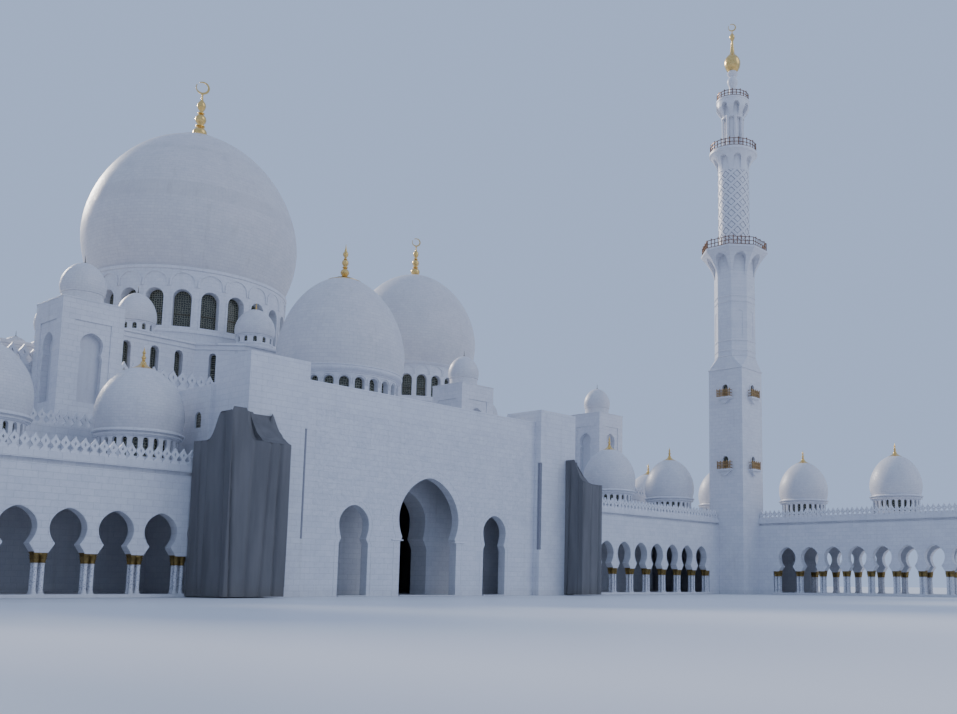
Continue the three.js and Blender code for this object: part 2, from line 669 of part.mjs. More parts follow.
function minaretShaft() {
  const blockTop = 39.7;
  const octagonFoot = 41.96;
  const base = block(-minaretHalf, minaretHalf, -minaretHalf, minaretHalf, 0, blockTop);
  const cap = block(-3.62, 3.62, -3.62, 3.62, blockTop - 0.1, blockTop + 0.35);
  const level = blockTop + 0.3;
  const corners = [[-1, -1], [-1, 1], [1, -1], [1, 1]].map(([x, y]) => (
    new THREE.Vector3(x * minaretHalf, y * minaretHalf, level)
  ));
  for (let i = 0; i < 8; i += 1) {
    const angle = (Math.PI / 4) * (i + 0.5);
    const [x, y] = [octagonRadius * Math.cos(angle), octagonRadius * Math.sin(angle)];
    corners.push(new THREE.Vector3(x, y, octagonFoot));
  }
  const broach = toSolid(new ConvexGeometry(corners));
  const octagon = turned([
    [0, octagonFoot - 0.1], [octagonRadius, octagonFoot - 0.1], [octagonRadius, 56.9], [3.95, 58.2],
    [4.75, 59.6], [5.55, 60.7], [6.1, 61.3], [6.1, 61.85], [0, 61.85],
  ], 8, 0, 0, Math.PI / 8);
  const levels = [21.75, 34.6];
  const balconies = levels.flatMap((floor) => [0, 90, 180, 270].map((angle) => (
    minaretBalcony(floor).rotate([0, 0, angle])
  )));
  const doors = levels.flatMap((floor) => [0, 90, 180, 270].map((angle) => (
    alongY(roundWindow(0, 0.55, floor, floor + 1.75, 1), -minaretHalf - 1, -minaretHalf + 0.5)
      .rotate([0, 0, angle])
  )));
  return cut(join([base, cap, broach, octagon, ...balconies]), doors);
}

function minaretUpper() {
  return turned([
    [0, 61.85], [2.8, 61.85], [2.8, 77.3], [3.0, 78.4], [3.6, 79.7], [4.25, 80.5], [4.44, 80.5],
    [4.44, 81.07], [0, 81.07],
  ], 16);
}

function minaretLantern() {
  const core = turned([
    [0, 81.07], [1.5, 81.07], [1.5, 87.95], [2.0, 87.95], [2.45, 88.7], [3.05, 89.6], [3.0, 91.35],
    [0.9, 91.35], [0.65, 94.2], [1.0, 95.4], [0.62, 96.3], [1.0, 96.9], [0.8, 97.4], [0, 97.4],
  ], 10);
  const posts = [];
  for (let i = 0; i < 8; i += 1) {
    const angle = (Math.PI / 4) * i;
    const [x, y] = [1.85 * Math.cos(angle), 1.85 * Math.sin(angle)];
    posts.push(turned([[0, 81], [0.26, 81], [0.26, 88.05], [0, 88.05]], 4, x, y));
  }
  return join([core, ...posts]);
}

function minaretFinial() {
  return turned([
    [0, 97.4], [0.8, 97.4], [1.3, 98.3], [1.5, 99.4], [1.2, 100.35], [0.45, 100.8], [0.4, 101.1],
    [0.18, 103.6], [0.5, 104.5], [0.16, 105.1], [0.08, 105.6], [0.08, 107], [0, 107],
  ], 8);
}

function minarets() {
  const place = (solid) => solid.translate([minaretX, minaretY, 0]);
  addPair('minaret_shaft', place(minaretShaft()), marble);
  addPair('minaret_upper_shaft', place(join([minaretUpper(), minaretLantern()])), marble);
  addPair('minaret_finial', place(minaretFinial()), gold);
}

// Sheeting over a scaffold that stands round the outer corner of a pylon: high at
// its front corner and where it is tied to the pylon, lower at its other corners
function coverSolid({ inner, outer, front }) {
  const gap = 0.003;
  const corner = portalHalf + pylonWidth + gap;
  const wing = wingFront - plinthStep - gap;
  const back = pylonFront - gap;
  const hull = (points) => toSolid(new ConvexGeometry(points.map((point) => new THREE.Vector3(...point))));
  const across = hull([
    [inner, front, 0], [outer, front, 0], [inner, back, 0], [outer, back, 0],
    [outer, front, 18.4], [outer - 2.2, front, 18.6], [inner, front, 15.6], [inner, back, 19.2],
    [outer, back, 17],
  ]);
  const along = hull([
    [corner, back - 1, 0], [outer, back - 1, 0], [corner, wing, 0], [outer, wing, 0],
    [corner, back - 1, 18.2], [outer, back - 1, 16.6], [corner, wing, 18.6], [outer, wing, 15.3],
  ]);
  return join([across, along]);
}

function covers() {
  addPiece('right_scaffold_cover', onSide(1, coverSolid({ inner: 23.8, outer: 27.9, front: -4.2 })), cloth);
  addPiece('left_scaffold_cover', onSide(-1, coverSolid({ inner: 23.1, outer: 29.3, front: -4.5 })), cloth);
}

portal();
foyer();
hallWalls();
hallRoofs();
turrets();
largeDomes();
wings();
sideArcades();
minarets();
covers();

export default mosque;
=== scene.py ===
import json
import math
import random

import bmesh
import bpy
from mathutils import Matrix, Vector


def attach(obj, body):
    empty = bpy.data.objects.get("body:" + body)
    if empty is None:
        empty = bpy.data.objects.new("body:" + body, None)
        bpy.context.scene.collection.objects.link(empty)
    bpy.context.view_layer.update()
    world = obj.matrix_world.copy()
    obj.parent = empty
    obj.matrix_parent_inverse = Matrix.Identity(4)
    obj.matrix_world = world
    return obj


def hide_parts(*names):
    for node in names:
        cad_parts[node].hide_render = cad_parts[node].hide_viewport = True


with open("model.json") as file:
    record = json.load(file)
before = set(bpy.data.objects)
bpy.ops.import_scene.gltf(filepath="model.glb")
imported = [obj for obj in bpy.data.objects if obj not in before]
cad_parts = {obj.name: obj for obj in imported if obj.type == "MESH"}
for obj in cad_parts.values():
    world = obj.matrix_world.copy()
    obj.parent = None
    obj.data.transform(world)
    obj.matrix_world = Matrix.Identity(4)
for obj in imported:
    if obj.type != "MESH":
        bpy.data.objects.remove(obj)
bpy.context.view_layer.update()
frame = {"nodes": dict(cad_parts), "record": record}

# Values below are metres of the real building. The model is a tenth of that,
# and placePiece() brings every finished mesh down to it.
toModel = 0.1


# Camera

camera = {
    "place": (-8.1264, -9.2424, 0.1742),
    "heading": 51.254,
    "tilt": 7.588,
    "roll": 0.47,
    "lens": 37.59,
    "shift": (-0.1326, 0.0969),
}


def pick(sizes, names):
    return [sizes[name] for name in names.split()]


def linked(name, data):
    # A new object in the scene
    thing = bpy.data.objects.new(name, data)
    bpy.context.scene.collection.objects.link(thing)
    return thing


def setCamera():
    heading, tilt, roll = map(math.radians, pick(camera, "heading tilt roll"))
    forward = Vector((math.sin(heading) * math.cos(tilt), math.cos(heading) * math.cos(tilt), math.sin(tilt)))
    levelRight = Vector((math.cos(heading), -math.sin(heading), 0))
    levelUp = levelRight.cross(forward)
    right = levelRight * math.cos(roll) + levelUp * math.sin(roll)
    up = levelUp * math.cos(roll) - levelRight * math.sin(roll)
    data = bpy.data.cameras.new("camera")
    data.lens = camera["lens"]
    data.sensor_fit = "HORIZONTAL"
    data.shift_x, data.shift_y = camera["shift"]
    data.clip_end = 200
    eye = linked("camera", data)
    axes = Matrix((right, up, -forward)).transposed().to_4x4()
    eye.matrix_world = Matrix.Translation(camera["place"]) @ axes
    bpy.context.scene.camera = eye


setCamera()
print("camera set")


# Materials

class Wire:
    # A socket that takes part in sums as a number does
    def __init__(self, look, socket):
        self.look = look
        self.socket = socket

    def maths(self, operation, first, second):
        return self.look.add("ShaderNodeMath", {"operation": operation}, {0: first, 1: second})

    def __add__(self, other):
        return self.maths("ADD", self, other)

    __radd__ = __add__

    def __sub__(self, other):
        return self.maths("SUBTRACT", self, other)

    def __rsub__(self, other):
        return self.maths("SUBTRACT", other, self)

    def __mul__(self, other):
        return self.maths("MULTIPLY", self, other)

    __rmul__ = __mul__

    def __lt__(self, other):
        return self.maths("LESS_THAN", self, other)

    def size(self):
        return self.look.add("ShaderNodeMath", {"operation": "ABSOLUTE"}, {0: self})


class Look:
    def __init__(self, name, slot):
        self.material = bpy.data.materials.new(name)
        self.material.use_nodes = True
        self.tree = self.material.node_tree
        self.tree.nodes.clear()
        self.slot = slot

    def add(self, kind, settings=None, sockets=None, result=0):
        node = self.tree.nodes.new(kind)
        for key, value in (settings or {}).items():
            setattr(node, key, value)
        for key, value in (sockets or {}).items():
            if isinstance(value, Wire):
                self.tree.links.new(value.socket, node.inputs[key])
            else:
                node.inputs[key].default_value = value
        return Wire(self, node.outputs[result]) if node.outputs else node

    def split(self, vector):
        node = self.add("ShaderNodeSeparateXYZ", {}, {0: vector}).socket.node
        return [Wire(self, output) for output in node.outputs]

    def join(self, x, y, z=0.0):
        return self.add("ShaderNodeCombineXYZ", {}, {0: x, 1: y, 2: z})

    def mix(self, share, first, second, way="MIX"):
        return self.add("ShaderNodeMix", {"data_type": "RGBA", "blend_type": way},
                        {0: share, 6: first, 7: second}, 2)

    def between(self, value, low, high, toLow=0.0, toHigh=1.0):
        return self.add("ShaderNodeMapRange", {"interpolation_type": "SMOOTHSTEP"},
                        {0: value, 1: low, 2: high, 3: toLow, 4: toHigh})

    def noise(self, where, scale, detail=3.0, roughness=0.5, distortion=0.0):
        return self.add("ShaderNodeTexNoise", {}, {"Vector": where, "Scale": scale, "Detail": detail,
                                                   "Roughness": roughness, "Distortion": distortion})

    def stretched(self, where, sizes):
        return self.add("ShaderNodeVectorMath", {"operation": "MULTIPLY"}, {0: where, 1: sizes})

    def realPlace(self):
        place = self.add("ShaderNodeTexCoord", result=3)
        return self.stretched(place, (10, 10, 10))

    def unrolled(self):
        return self.add("ShaderNodeUVMap", {"uv_map": "uv"})

    def bump(self, height, distance, strength=1.0):
        return self.add("ShaderNodeBump", {}, {"Height": height, "Distance": distance, "Strength": strength})

    def finish(self, **values):
        shader = self.add("ShaderNodeBsdfPrincipled", {},
                          {key.replace("_", " "): value for key, value in values.items()})
        self.add("ShaderNodeOutputMaterial", {}, {0: shader})
        return self


stone = {
    "light": (0.80, 0.795, 0.82, 1),
    "dull": (0.66, 0.66, 0.705, 1),
    "vein": (0.50, 0.50, 0.55, 1),
    "joint": (0.40, 0.405, 0.44, 1),
    "stain": (0.47, 0.455, 0.43, 1),
    "inlay": (0.22, 0.24, 0.34, 1),
    "roughness": 0.42,
    "blockTone": 0.15,
    "jointTone": 0.3,
}


def coursed(look, where, length, height, joint):
    # Tone of each block and the mask of its joints
    node = look.add("ShaderNodeTexBrick", {"offset": 0.5}, {
        "Vector": where, "Scale": 1.0, "Color1": (0, 0, 0, 1), "Color2": (1, 1, 1, 1),
        "Mortar": (0.5, 0.5, 0.5, 1), "Mortar Size": joint, "Mortar Smooth": 0.4, "Bias": 0.0,
        "Brick Width": length, "Row Height": height,
    }).socket.node
    tone = look.add("ShaderNodeRGBToBW", {}, {0: Wire(look, node.outputs[0])})
    return tone, Wire(look, node.outputs[1])


# Where each pattern fades in and out, up the wall and towards its ends
carving = {"low": (7.5, 9.5), "high": (21.6, 20.6), "side": (17.4, 16.6), "depth": 0.9}
inlayBand = {"low": (0.6, 0.75), "high": (3.2, 3.05)}


def marble(name, slot, block=None, unrolled=False, paintedLightShadeShare=0.0, relief=0.0, tint=(0.80, 0.735, 0.67, 1),
           inlay=False):
    look = Look(name, slot)
    place = look.realPlace()
    x, y, z = look.split(place)
    cloud = look.noise(place, 0.35, 4.0, 0.6)
    grain = look.noise(place, 2.4, 5.0, 0.65, 0.6)
    veins = look.noise(place, 0.9, 6.0, 0.62, 2.2)
    vein = look.between((veins - 0.5).size(), 0.035, 0.0)
    tone = 0.5 * cloud + 0.35 * grain
    if block:
        where = look.unrolled() if unrolled else look.join(x + y, z)
        blockTone, joint = coursed(look, where, *block)
        if not unrolled:
            facing = look.split(look.add("ShaderNodeNewGeometry", result=3))[2]
            joint = joint * (facing.size() < 0.8)
        tone = tone + stone["blockTone"] * blockTone
    shade = look.between(tone, 0.25, 0.85)
    colour = look.mix(shade, stone["light"], stone["dull"])
    colour = look.mix(0.18 * vein, colour, stone["vein"])
    streaks = look.noise(look.stretched(place, (1.1, 1.1, 0.07)), 1.0, 4.0, 0.6)
    stain = 0.22 * look.between(streaks, 0.55, 0.78) + 0.22 * look.between(z, 1.4, 0.0)
    colour = look.mix(stain, colour, stone["stain"])
    # Painted light and shade: a tint multiplied into the colour, warm for painted sunlight on the domes and
    # dark for painted shade in recesses.
    if paintedLightShadeShare:
        colour = look.mix(paintedLightShadeShare, colour, tint, "MULTIPLY")
    if inlay:
        flowers = look.add("ShaderNodeTexVoronoi", {}, {"Vector": place, "Scale": 6.5})
        petals = look.between(flowers, 0.42, 0.3) * look.between(z, *inlayBand["low"])
        petals = petals * look.between(z, *inlayBand["high"])
        colour = look.mix(0.6 * petals, colour, stone["inlay"])
    height = 0.12 * grain
    if block:
        colour = look.mix(stone["jointTone"] * joint, colour, stone["joint"])
        height = height - 0.7 * joint + 0.05 * blockTone
    if relief:
        swirl = look.add("ShaderNodeTexVoronoi", {"feature": "SMOOTH_F1"}, {
            "Vector": look.stretched(place, (1.0, 1.0, 1.25)), "Scale": 1.15, "Smoothness": 0.3})
        tendrils = look.between((look.noise(place, 0.75, 2.0, 0.5, 1.5) - 0.5).size(), 0.09, 0.02)
        carved = (0.6 * look.between(swirl, 0.5, 0.2) + tendrils) * look.between(z, *carving["low"])
        carved = carved * look.between(z, *carving["high"]) * look.between(x.size(), *carving["side"])
        height = height + relief * carved
        colour = look.mix(0.16 * carved, colour, stone["vein"])
    rough = look.between(grain, 0.2, 0.8, stone["roughness"] - 0.08, stone["roughness"] + 0.16)
    return look.finish(Base_Color=colour, Roughness=rough, Normal=look.bump(height, 0.0022, 0.8))


def metal(name, slot, bright, dark, roughness):
    look = Look(name, slot)
    place = look.realPlace()
    wear = look.between(look.noise(place, 3.0, 5.0, 0.6), 0.35, 0.75)
    rough = look.between(look.noise(place, 11.0, 3.0), 0.3, 0.7, roughness - 0.07, roughness + 0.14)
    colour = look.mix(0.7 * wear, bright, dark)
    return look.finish(Base_Color=colour, Metallic=1.0, Roughness=rough,
                       Normal=look.bump(look.noise(place, 20.0, 2.0), 0.0006, 0.5))


lattice = {
    # The glass tones are near-black: painted shade of the unlit rooms behind the windows.
    "glass": ((0.012, 0.016, 0.014, 1), (0.045, 0.05, 0.03, 1)),
    "screen": ((0.23, 0.225, 0.15, 1), (0.34, 0.33, 0.25, 1)),
}


def latticeGlass(name, slot, unrolled, cell):
    # Glazing behind a fine pierced screen of rounded cells; the glazing is real, and its near-black colour is
    # painted shade of the unlit rooms behind it
    look = Look(name, slot)
    place = look.realPlace()
    x, y, z = look.split(place)
    where = look.unrolled() if unrolled else look.join(x + y, z)
    edge = look.add("ShaderNodeTexVoronoi", {"feature": "DISTANCE_TO_EDGE", "voronoi_dimensions": "2D"},
                    {"Vector": where, "Scale": 1 / cell, "Randomness": 0.45})
    bars = look.between(edge, 0.13, 0.07)
    tint = look.noise(place, 1.3, 3.0)
    glass = look.mix(look.between(tint, 0.35, 0.7), *lattice["glass"])
    screen = look.mix(tint, *lattice["screen"])
    colour = look.mix(bars, glass, screen)
    rough = 0.16 + 0.45 * bars
    return look.finish(Base_Color=colour, Roughness=rough, Normal=look.bump(bars, 0.003, 0.7))


sheetTones = {
    "widths": ((0.16, 0.157, 0.165, 1), (0.215, 0.21, 0.215, 1)), "thread": (0.115, 0.113, 0.12, 1),
    "dirt": (0.15, 0.14, 0.125, 1), "threads": 24.0,
}


def sheeting(name, slot):
    # Dull woven sheeting with a dirty foot
    look = Look(name, slot)
    place = look.realPlace()
    z = look.split(place)[2]
    u, v, _ = look.split(look.unrolled())
    weave = look.add("ShaderNodeTexWave", {"wave_type": "BANDS"}, {
        "Vector": look.join(u, v), "Scale": sheetTones["threads"]})
    across = look.add("ShaderNodeTexWave", {"wave_type": "BANDS"}, {
        "Vector": look.join(v, u), "Scale": sheetTones["threads"]})
    cloth = 0.5 * weave + 0.5 * across
    widths = look.between(look.noise(look.stretched(place, (0.9, 0.9, 0.12)), 1.0, 4.0), 0.3, 0.75)
    colour = look.mix(widths, *sheetTones["widths"])
    colour = look.mix(0.25 * cloth, colour, sheetTones["thread"])
    dirt = look.between(z + 1.5 * look.noise(place, 0.8), 2.6, 0.4)
    colour = look.mix(0.45 * dirt, colour, sheetTones["dirt"])
    rough = look.between(cloth, 0.0, 1.0, 0.72, 0.9)
    return look.finish(Base_Color=colour, Roughness=rough,
                       Normal=look.bump(cloth + 0.8 * look.noise(place, 2.2, 4.0), 0.0025, 0.6))


wallCourse = (1.24, 0.62, 0.022)
wallMarble = marble("coursedMarble", "marble", block=wallCourse)
panelMarble = marble("portalMarble", "marble", block=wallCourse, relief=carving["depth"])
roundMarble = marble("roundCoursedMarble", "marble", block=(1.1, 0.55, 0.02), unrolled=True)
plainMarble = marble("honedMarble", "marble")
inlaidMarble = marble("inlaidMarble", "marble", inlay=True)
capitalGold = metal("capitalGold", "gold", (0.40, 0.28, 0.10, 1), (0.15, 0.10, 0.04, 1), 0.4)
# The warm tint of the two dome mosaics is painted warm sunlight.
domeMosaic = marble("domeMosaic", "dome_marble", block=(1.05, 0.5, 0.03), unrolled=True, paintedLightShadeShare=0.35)
smallMosaic = marble("smallDomeMosaic", "dome_marble", block=(0.6, 0.3, 0.018), unrolled=True, paintedLightShadeShare=0.2)
# Darker, bluer tint: painted shade inside the turret niches.
nicheShadeMarble = marble("nicheShadeMarble", "marble", paintedLightShadeShare=0.3, tint=(0.5, 0.52, 0.57, 1))
# Dark tint: painted shade, for the pylon slots and the strap edges of the towers.
paintedShadeMarble = marble("shadedMarble", "marble", paintedLightShadeShare=1.0, tint=(0.34, 0.34, 0.38, 1))
goldLeaf = metal("polishedGold", "gold", (0.86, 0.60, 0.23, 1), (0.60, 0.37, 0.11, 1), 0.24)
balconyGold = metal("balconyGold", "gold", (0.50, 0.33, 0.15, 1), (0.24, 0.15, 0.08, 1), 0.42)
railGold = metal("railingGold", "gold", (0.30, 0.17, 0.10, 1), (0.13, 0.075, 0.05, 1), 0.42)
darkBronze = metal("darkBronze", "gold", (0.12, 0.105, 0.075, 1), (0.05, 0.045, 0.04, 1), 0.5)
drumLattice = latticeGlass("drumLattice", "window_lattice", True, 0.34)
wallLattice = latticeGlass("wallLattice", "window_lattice", False, 0.3)
coverCloth = sheeting("coverCloth", "cover_cloth")
print("materials made")


# Mesh helpers

def blank():
    mesh = bmesh.new()
    mesh.loops.layers.uv.new("uv")
    return mesh


def blanks(count):
    return [blank() for _ in range(count)]


def kept(mesh):
    # A finished shape that can be stamped many times
    bmesh.ops.remove_doubles(mesh, verts=mesh.verts, dist=0.0006)
    bmesh.ops.recalc_face_normals(mesh, faces=mesh.faces)
    data = bpy.data.meshes.new("shape")
    mesh.to_mesh(data)
    mesh.free()
    return data


def at(x=0.0, y=0.0, z=0.0, turn=0.0, size=1.0):
    return (Matrix.Translation((x, y, z)) @ Matrix.Rotation(math.radians(turn), 4, "Z")
            @ Matrix.Scale(size, 4))


def stamp(pile, shape, place=Matrix()):
    copy = shape.copy()
    copy.transform(place)
    pile.from_mesh(copy)
    bpy.data.meshes.remove(copy)


def stampAll(piles, shapes, place):
    for pile, shape in zip(piles, shapes):
        stamp(pile, shape, place)


def stampRound(pile, shape, count, place=Matrix(), shift=0.0):
    # Copies spread evenly round the Z axis
    for i in range(count):
        stamp(pile, shape, at(turn=360 / count * (i + shift)) @ place)


def moved(pile, place):
    # A finished pile, set down at its place
    fresh = blank()
    stamp(fresh, kept(pile), place)
    return fresh


def rectangle(half, low, high):
    return [(-half, low), (half, low), (half, high), (-half, high)]


def mirrored(half, centre=0.0):
    # A half outline and its mirror image; a point on the axis comes once
    return [(centre + x, z) for x, z in half] + [(centre - x, z) for x, z in reversed(half) if x]


def layFlat(mesh):
    # Unrolled place of a flat upright shape: along it and up
    layer = mesh.loops.layers.uv["uv"]
    for face in mesh.faces:
        for loop in face.loops:
            x, y, z = loop.vert.co
            loop[layer].uv = (x + y, z)


def outlineEdges(mesh, points):
    corners = [mesh.verts.new((x, 0, z)) for x, z in points]
    return [mesh.edges.new(pair) for pair in zip(corners, corners[1:] + corners[:1])]


def extruded(mesh):
    # The corners of a second layer, joined to the first by a rim
    grown = bmesh.ops.extrude_face_region(mesh, geom=mesh.faces[:])
    return [part for part in grown["geom"] if isinstance(part, bmesh.types.BMVert)]


def plate(outline, holes=(), depth=1.0, front=0.0):
    # An upright sheet facing -Y, with holes, of real thickness
    mesh = blank()
    edges = outlineEdges(mesh, outline)
    for hole in holes:
        edges += outlineEdges(mesh, hole)
    if holes:
        bmesh.ops.triangle_fill(mesh, use_beauty=True, edges=edges, normal=(0, -1, 0))
    else:
        bmesh.ops.contextual_create(mesh, geom=edges)
    bmesh.ops.translate(mesh, verts=extruded(mesh), vec=(0, depth, 0))
    bmesh.ops.translate(mesh, verts=mesh.verts, vec=(0, front, 0))
    bmesh.ops.recalc_face_normals(mesh, faces=mesh.faces)
    layFlat(mesh)
    return mesh


def mitred(mesh, half, slope=1.0):
    # Ends cut back so that turned copies meet along their corners
    for vert in mesh.verts:
        if abs(vert.co.x) > half - 0.001:
            vert.co.x = math.copysign(half - slope * vert.co.y, vert.co.x)
    return mesh


def block(x0, x1, y0, y1, z0, z1, edge=0.0):
    mesh = blank()
    bmesh.ops.create_cube(mesh, size=1)
    bmesh.ops.scale(mesh, vec=(x1 - x0, y1 - y0, z1 - z0), verts=mesh.verts)
    bmesh.ops.translate(mesh, verts=mesh.verts, vec=((x0 + x1) / 2, (y0 + y1) / 2, (z0 + z1) / 2))
    if edge:
        bmesh.ops.bevel(mesh, geom=mesh.edges[:], offset=edge, affect="EDGES", segments=1, profile=0.5,
                        material=-1)
    layFlat(mesh)
    return kept(mesh)


def blockRound(x, y, halfX, halfY, low, high, edge=0.0):
    # A block centred on a point
    return block(x - halfX, x + halfX, y - halfY, y + halfY, low, high, edge)


def wrapRound(mesh, profile, tile):
    # Unrolled place of a turned shape: whole tiles round it, and the length along its outline
    layer = mesh.loops.layers.uv["uv"]
    along = {}
    length = 0.0
    for index, (radius, z) in enumerate(profile):
        if index:
            length += math.dist((radius, z), profile[index - 1])
        along[(round(radius, 3), round(z, 3))] = length
    widest = max(radius for radius, z in profile)
    span = max(1, round(2 * math.pi * widest / tile)) * tile
    for face in mesh.faces:
        middle = face.calc_center_median()
        facing = math.atan2(middle.y, middle.x)
        for loop in face.loops:
            x, y, z = loop.vert.co
            radius = math.hypot(x, y)
            angle = facing if radius < 1e-4 else math.atan2(y, x)
            if angle - facing > math.pi:
                angle -= 2 * math.pi
            if facing - angle > math.pi:
                angle += 2 * math.pi
            up = along.get((round(radius, 3), round(z, 3)), z)
            loop[layer].uv = (angle / (2 * math.pi) * span, up)


def turned(profile, sides, tile=1.1, phase=0.0):
    # A shape turned round Z from an outline of radius and height
    mesh = blank()
    corners = [mesh.verts.new((radius, 0, z)) for radius, z in profile]
    edges = [mesh.edges.new(pair) for pair in zip(corners, corners[1:])]
    bmesh.ops.rotate(mesh, verts=mesh.verts, cent=(0, 0, 0), matrix=Matrix.Rotation(phase, 3, "Z"))
    bmesh.ops.spin(mesh, geom=corners + edges, angle=2 * math.pi, steps=sides, axis=(0, 0, 1), cent=(0, 0, 0),
                   use_merge=True)
    bmesh.ops.remove_doubles(mesh, verts=mesh.verts, dist=0.0005)
    bmesh.ops.recalc_face_normals(mesh, faces=mesh.faces)
    wrapRound(mesh, profile, tile)
    return kept(mesh)


def solidTurned(profile, sides, tile=1.1, phase=0.0):
    # A turned shape that closes on the axis below and above its outline
    return turned([(0, profile[0][1]), *profile, (0, profile[-1][1])], sides, tile, phase)


def rod(radius, low, high, sides, tile=1.1, phase=0.0):
    return solidTurned([(radius, low), (radius, high)], sides, tile, phase)


def ringMoulding(radius, steps, sides=96):
    inside = radius - 0.5
    points = [(inside, steps[0][1])] + [(radius + out, z) for out, z in steps] + [(inside, steps[-1][1])]
    return turned(points + points[:1], sides)


def bend(mesh, radius):
    # Wraps an upright sheet round the Z axis, its front outermost
    for vert in mesh.verts:
        angle = vert.co.x / radius
        across = radius - vert.co.y
        vert.co = (across * math.sin(angle), -across * math.cos(angle), vert.co.z)


def sliced(mesh, places, across):
    # New edges where planes across a direction cut the mesh
    for place in places:
        bmesh.ops.bisect_plane(mesh, geom=mesh.verts[:] + mesh.edges[:] + mesh.faces[:], dist=0.0001,
                               plane_co=Vector(across) * place, plane_no=across)


def roundBay(radius, bays, low, high, hole, depth, strips):
    # One bay of a round wall, with the opening of that bay
    half = math.pi * radius / bays
    mesh = plate(rectangle(half, low, high), [hole], depth)
    sliced(mesh, [half * (2 * i / strips - 1) for i in range(1, strips)], (1, 0, 0))
    bend(mesh, radius)
    return kept(mesh)


def placePiece(name, pile, look, nodes=(), sharp=32):
    data = pile if isinstance(pile, bpy.types.Mesh) else bpy.data.meshes.new(name)
    if data is not pile:
        pile.to_mesh(data)
        pile.free()
    data.name = name
    data.transform(Matrix.Scale(toModel, 4))
    data.shade_smooth()
    data.set_sharp_from_angle(angle=math.radians(sharp))
    data.materials.append(look.material)
    piece = linked(name, data)
    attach(piece, "root")
    if nodes:
        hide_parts(*nodes)
    return piece


def placePair(name, pile, look, node=None):
    # The right-hand piece as built and its mirror image on the left
    right = bpy.data.meshes.new(name)
    pile.to_mesh(right)
    pile.free()
    left = right.copy()
    left.transform(Matrix.Scale(-1, 4, (1, 0, 0)))
    left.flip_normals()
    for side, data in (("right", right), ("left", left)):
        placePiece(f"{side}{name}", data, look, [f"{side}_{node}"] if node else [])


# Outlines

def archHalf(arch, foot, lower, upper):
    points = [(arch["jamb"], foot), (arch["jamb"], arch["jambTop"])]
    drop = arch["wideZ"] - arch["neckZ"]
    lowShift = (drop ** 2 + arch["neck"] ** 2 - arch["wide"] ** 2) / (2 * (arch["wide"] - arch["neck"]))
    lowRadius = arch["wide"] + lowShift
    lowAngle = math.asin(drop / lowRadius)
    for i in range(lower):
        angle = -lowAngle * (1 - i / lower)
        points.append((lowRadius * math.cos(angle) - lowShift, arch["wideZ"] + lowRadius * math.sin(angle)))
    for i in range(upper + 1):
        share = math.sin(math.pi / 2 * i / upper)
        points.append((arch["wide"] * max(0, 1 - share ** 1.9) ** 0.6,
                       arch["wideZ"] + (arch["apex"] - arch["wideZ"]) * share))
    return points


def keyhole(arch, centre, foot, lower=5, upper=12):
    return mirrored(archHalf(arch, foot, lower, upper), centre)


def grownArch(arch, by):
    changes = {"jamb": by, "neck": by, "wide": by, "apex": 1.3 * by, "jambTop": -0.2 * by}
    return {key: value + changes.get(key, 0) for key, value in arch.items()}


def archBand(arch, centre, foot, near, far, proud):
    # A flat band that follows an arch, standing proud of the wall
    outer, inner = (keyhole(grownArch(arch, by), centre, foot) for by in (far, near))
    return kept(plate(outer + inner[::-1], (), proud + 0.05, -proud))


def roundTop(centre, half, low, top, steps=6):
    spring = top - half
    points = [(centre - half, low), (centre + half, low)]
    for i in range(2 * steps + 1):
        angle = math.pi * i / (2 * steps)
        points.append((centre + half * math.cos(angle), spring + half * math.sin(angle)))
    return points


def domeAcross(radius, height, rise, sharpness=1.86):
    return radius * (1 - (rise / height) ** sharpness) ** (1 / sharpness)


def domeShape(radius, height, middle, foot, rows, sides, tile=0.6, under=3):
    # A dome that swells from its foot to its middle and closes at its crown
    points = [(0, foot)]
    for i in range(under):
        drop = (middle - foot) * (1 - i / under)
        points.append((domeAcross(radius, height, drop), middle - drop))
    for i in range(rows):
        rise = height * math.sin(math.pi / 2 * i / rows)
        points.append((domeAcross(radius, height, rise), middle + rise))
    return turned(points + [(0.0, middle + height)], sides, tile)


# Portal, pylons and foyer

def archSizes(*sizes):
    # Half widths at the jambs, the neck and the widest place, and the levels that go with them
    return dict(zip(("jamb", "jambTop", "neck", "neckZ", "wide", "wideZ", "apex"), sizes))


mainArch = archSizes(4.46, 6.3, 4.16, 6.9, 4.72, 9.2, 14.2)
sideArch = archSizes(2.0, 5.9, 1.7, 6.45, 2.05, 8.15, 10.25)
innerArch = archSizes(4.9, 5.9, 4.2, 7.1, 4.55, 9.5, 13.4)
portal = {
    "half": 18.505, "top": 23.48, "wall": 1.2, "sideArchX": 11.105, "pylonOuter": 25.688, "floor": 0.12,
    "slot": (6.1, 17.9), "innerWall": {"y": 6, "top": 21.3, "thick": 3.0, "back": 16.9},
    "window": {"x": 26.02, "y": 7.7, "half": 0.62, "low": 17.8, "top": 19.55},
    "impost": (4.05, 5.75, 6.46, 6.6), "dado": (5.42, 2.56, 0.96, 1.04),
    "sills": {"middle": 4.36, "side": 1.9},
}


def portalHoles(middleArch, rows):
    x = portal["sideArchX"]
    return [keyhole(middleArch, 0, 0, 6, rows), keyhole(sideArch, x, 0), keyhole(sideArch, -x, 0)]


def comb(low, high, left, right, arches):
    # Outline of a wall whose arches stand open at the foot
    points = [(left, high), (left, low)]
    for arch in sorted(arches, key=lambda points: points[0][0]):
        start = arch.index(min(arch, key=lambda point: (round(point[1], 3), point[0])))
        ordered = arch[start:] + arch[:start]
        if ordered[1][1] < ordered[-1][1]:
            ordered = [ordered[0]] + ordered[:0:-1]
        points += ordered
    return points + [(right, low), (right, high)]


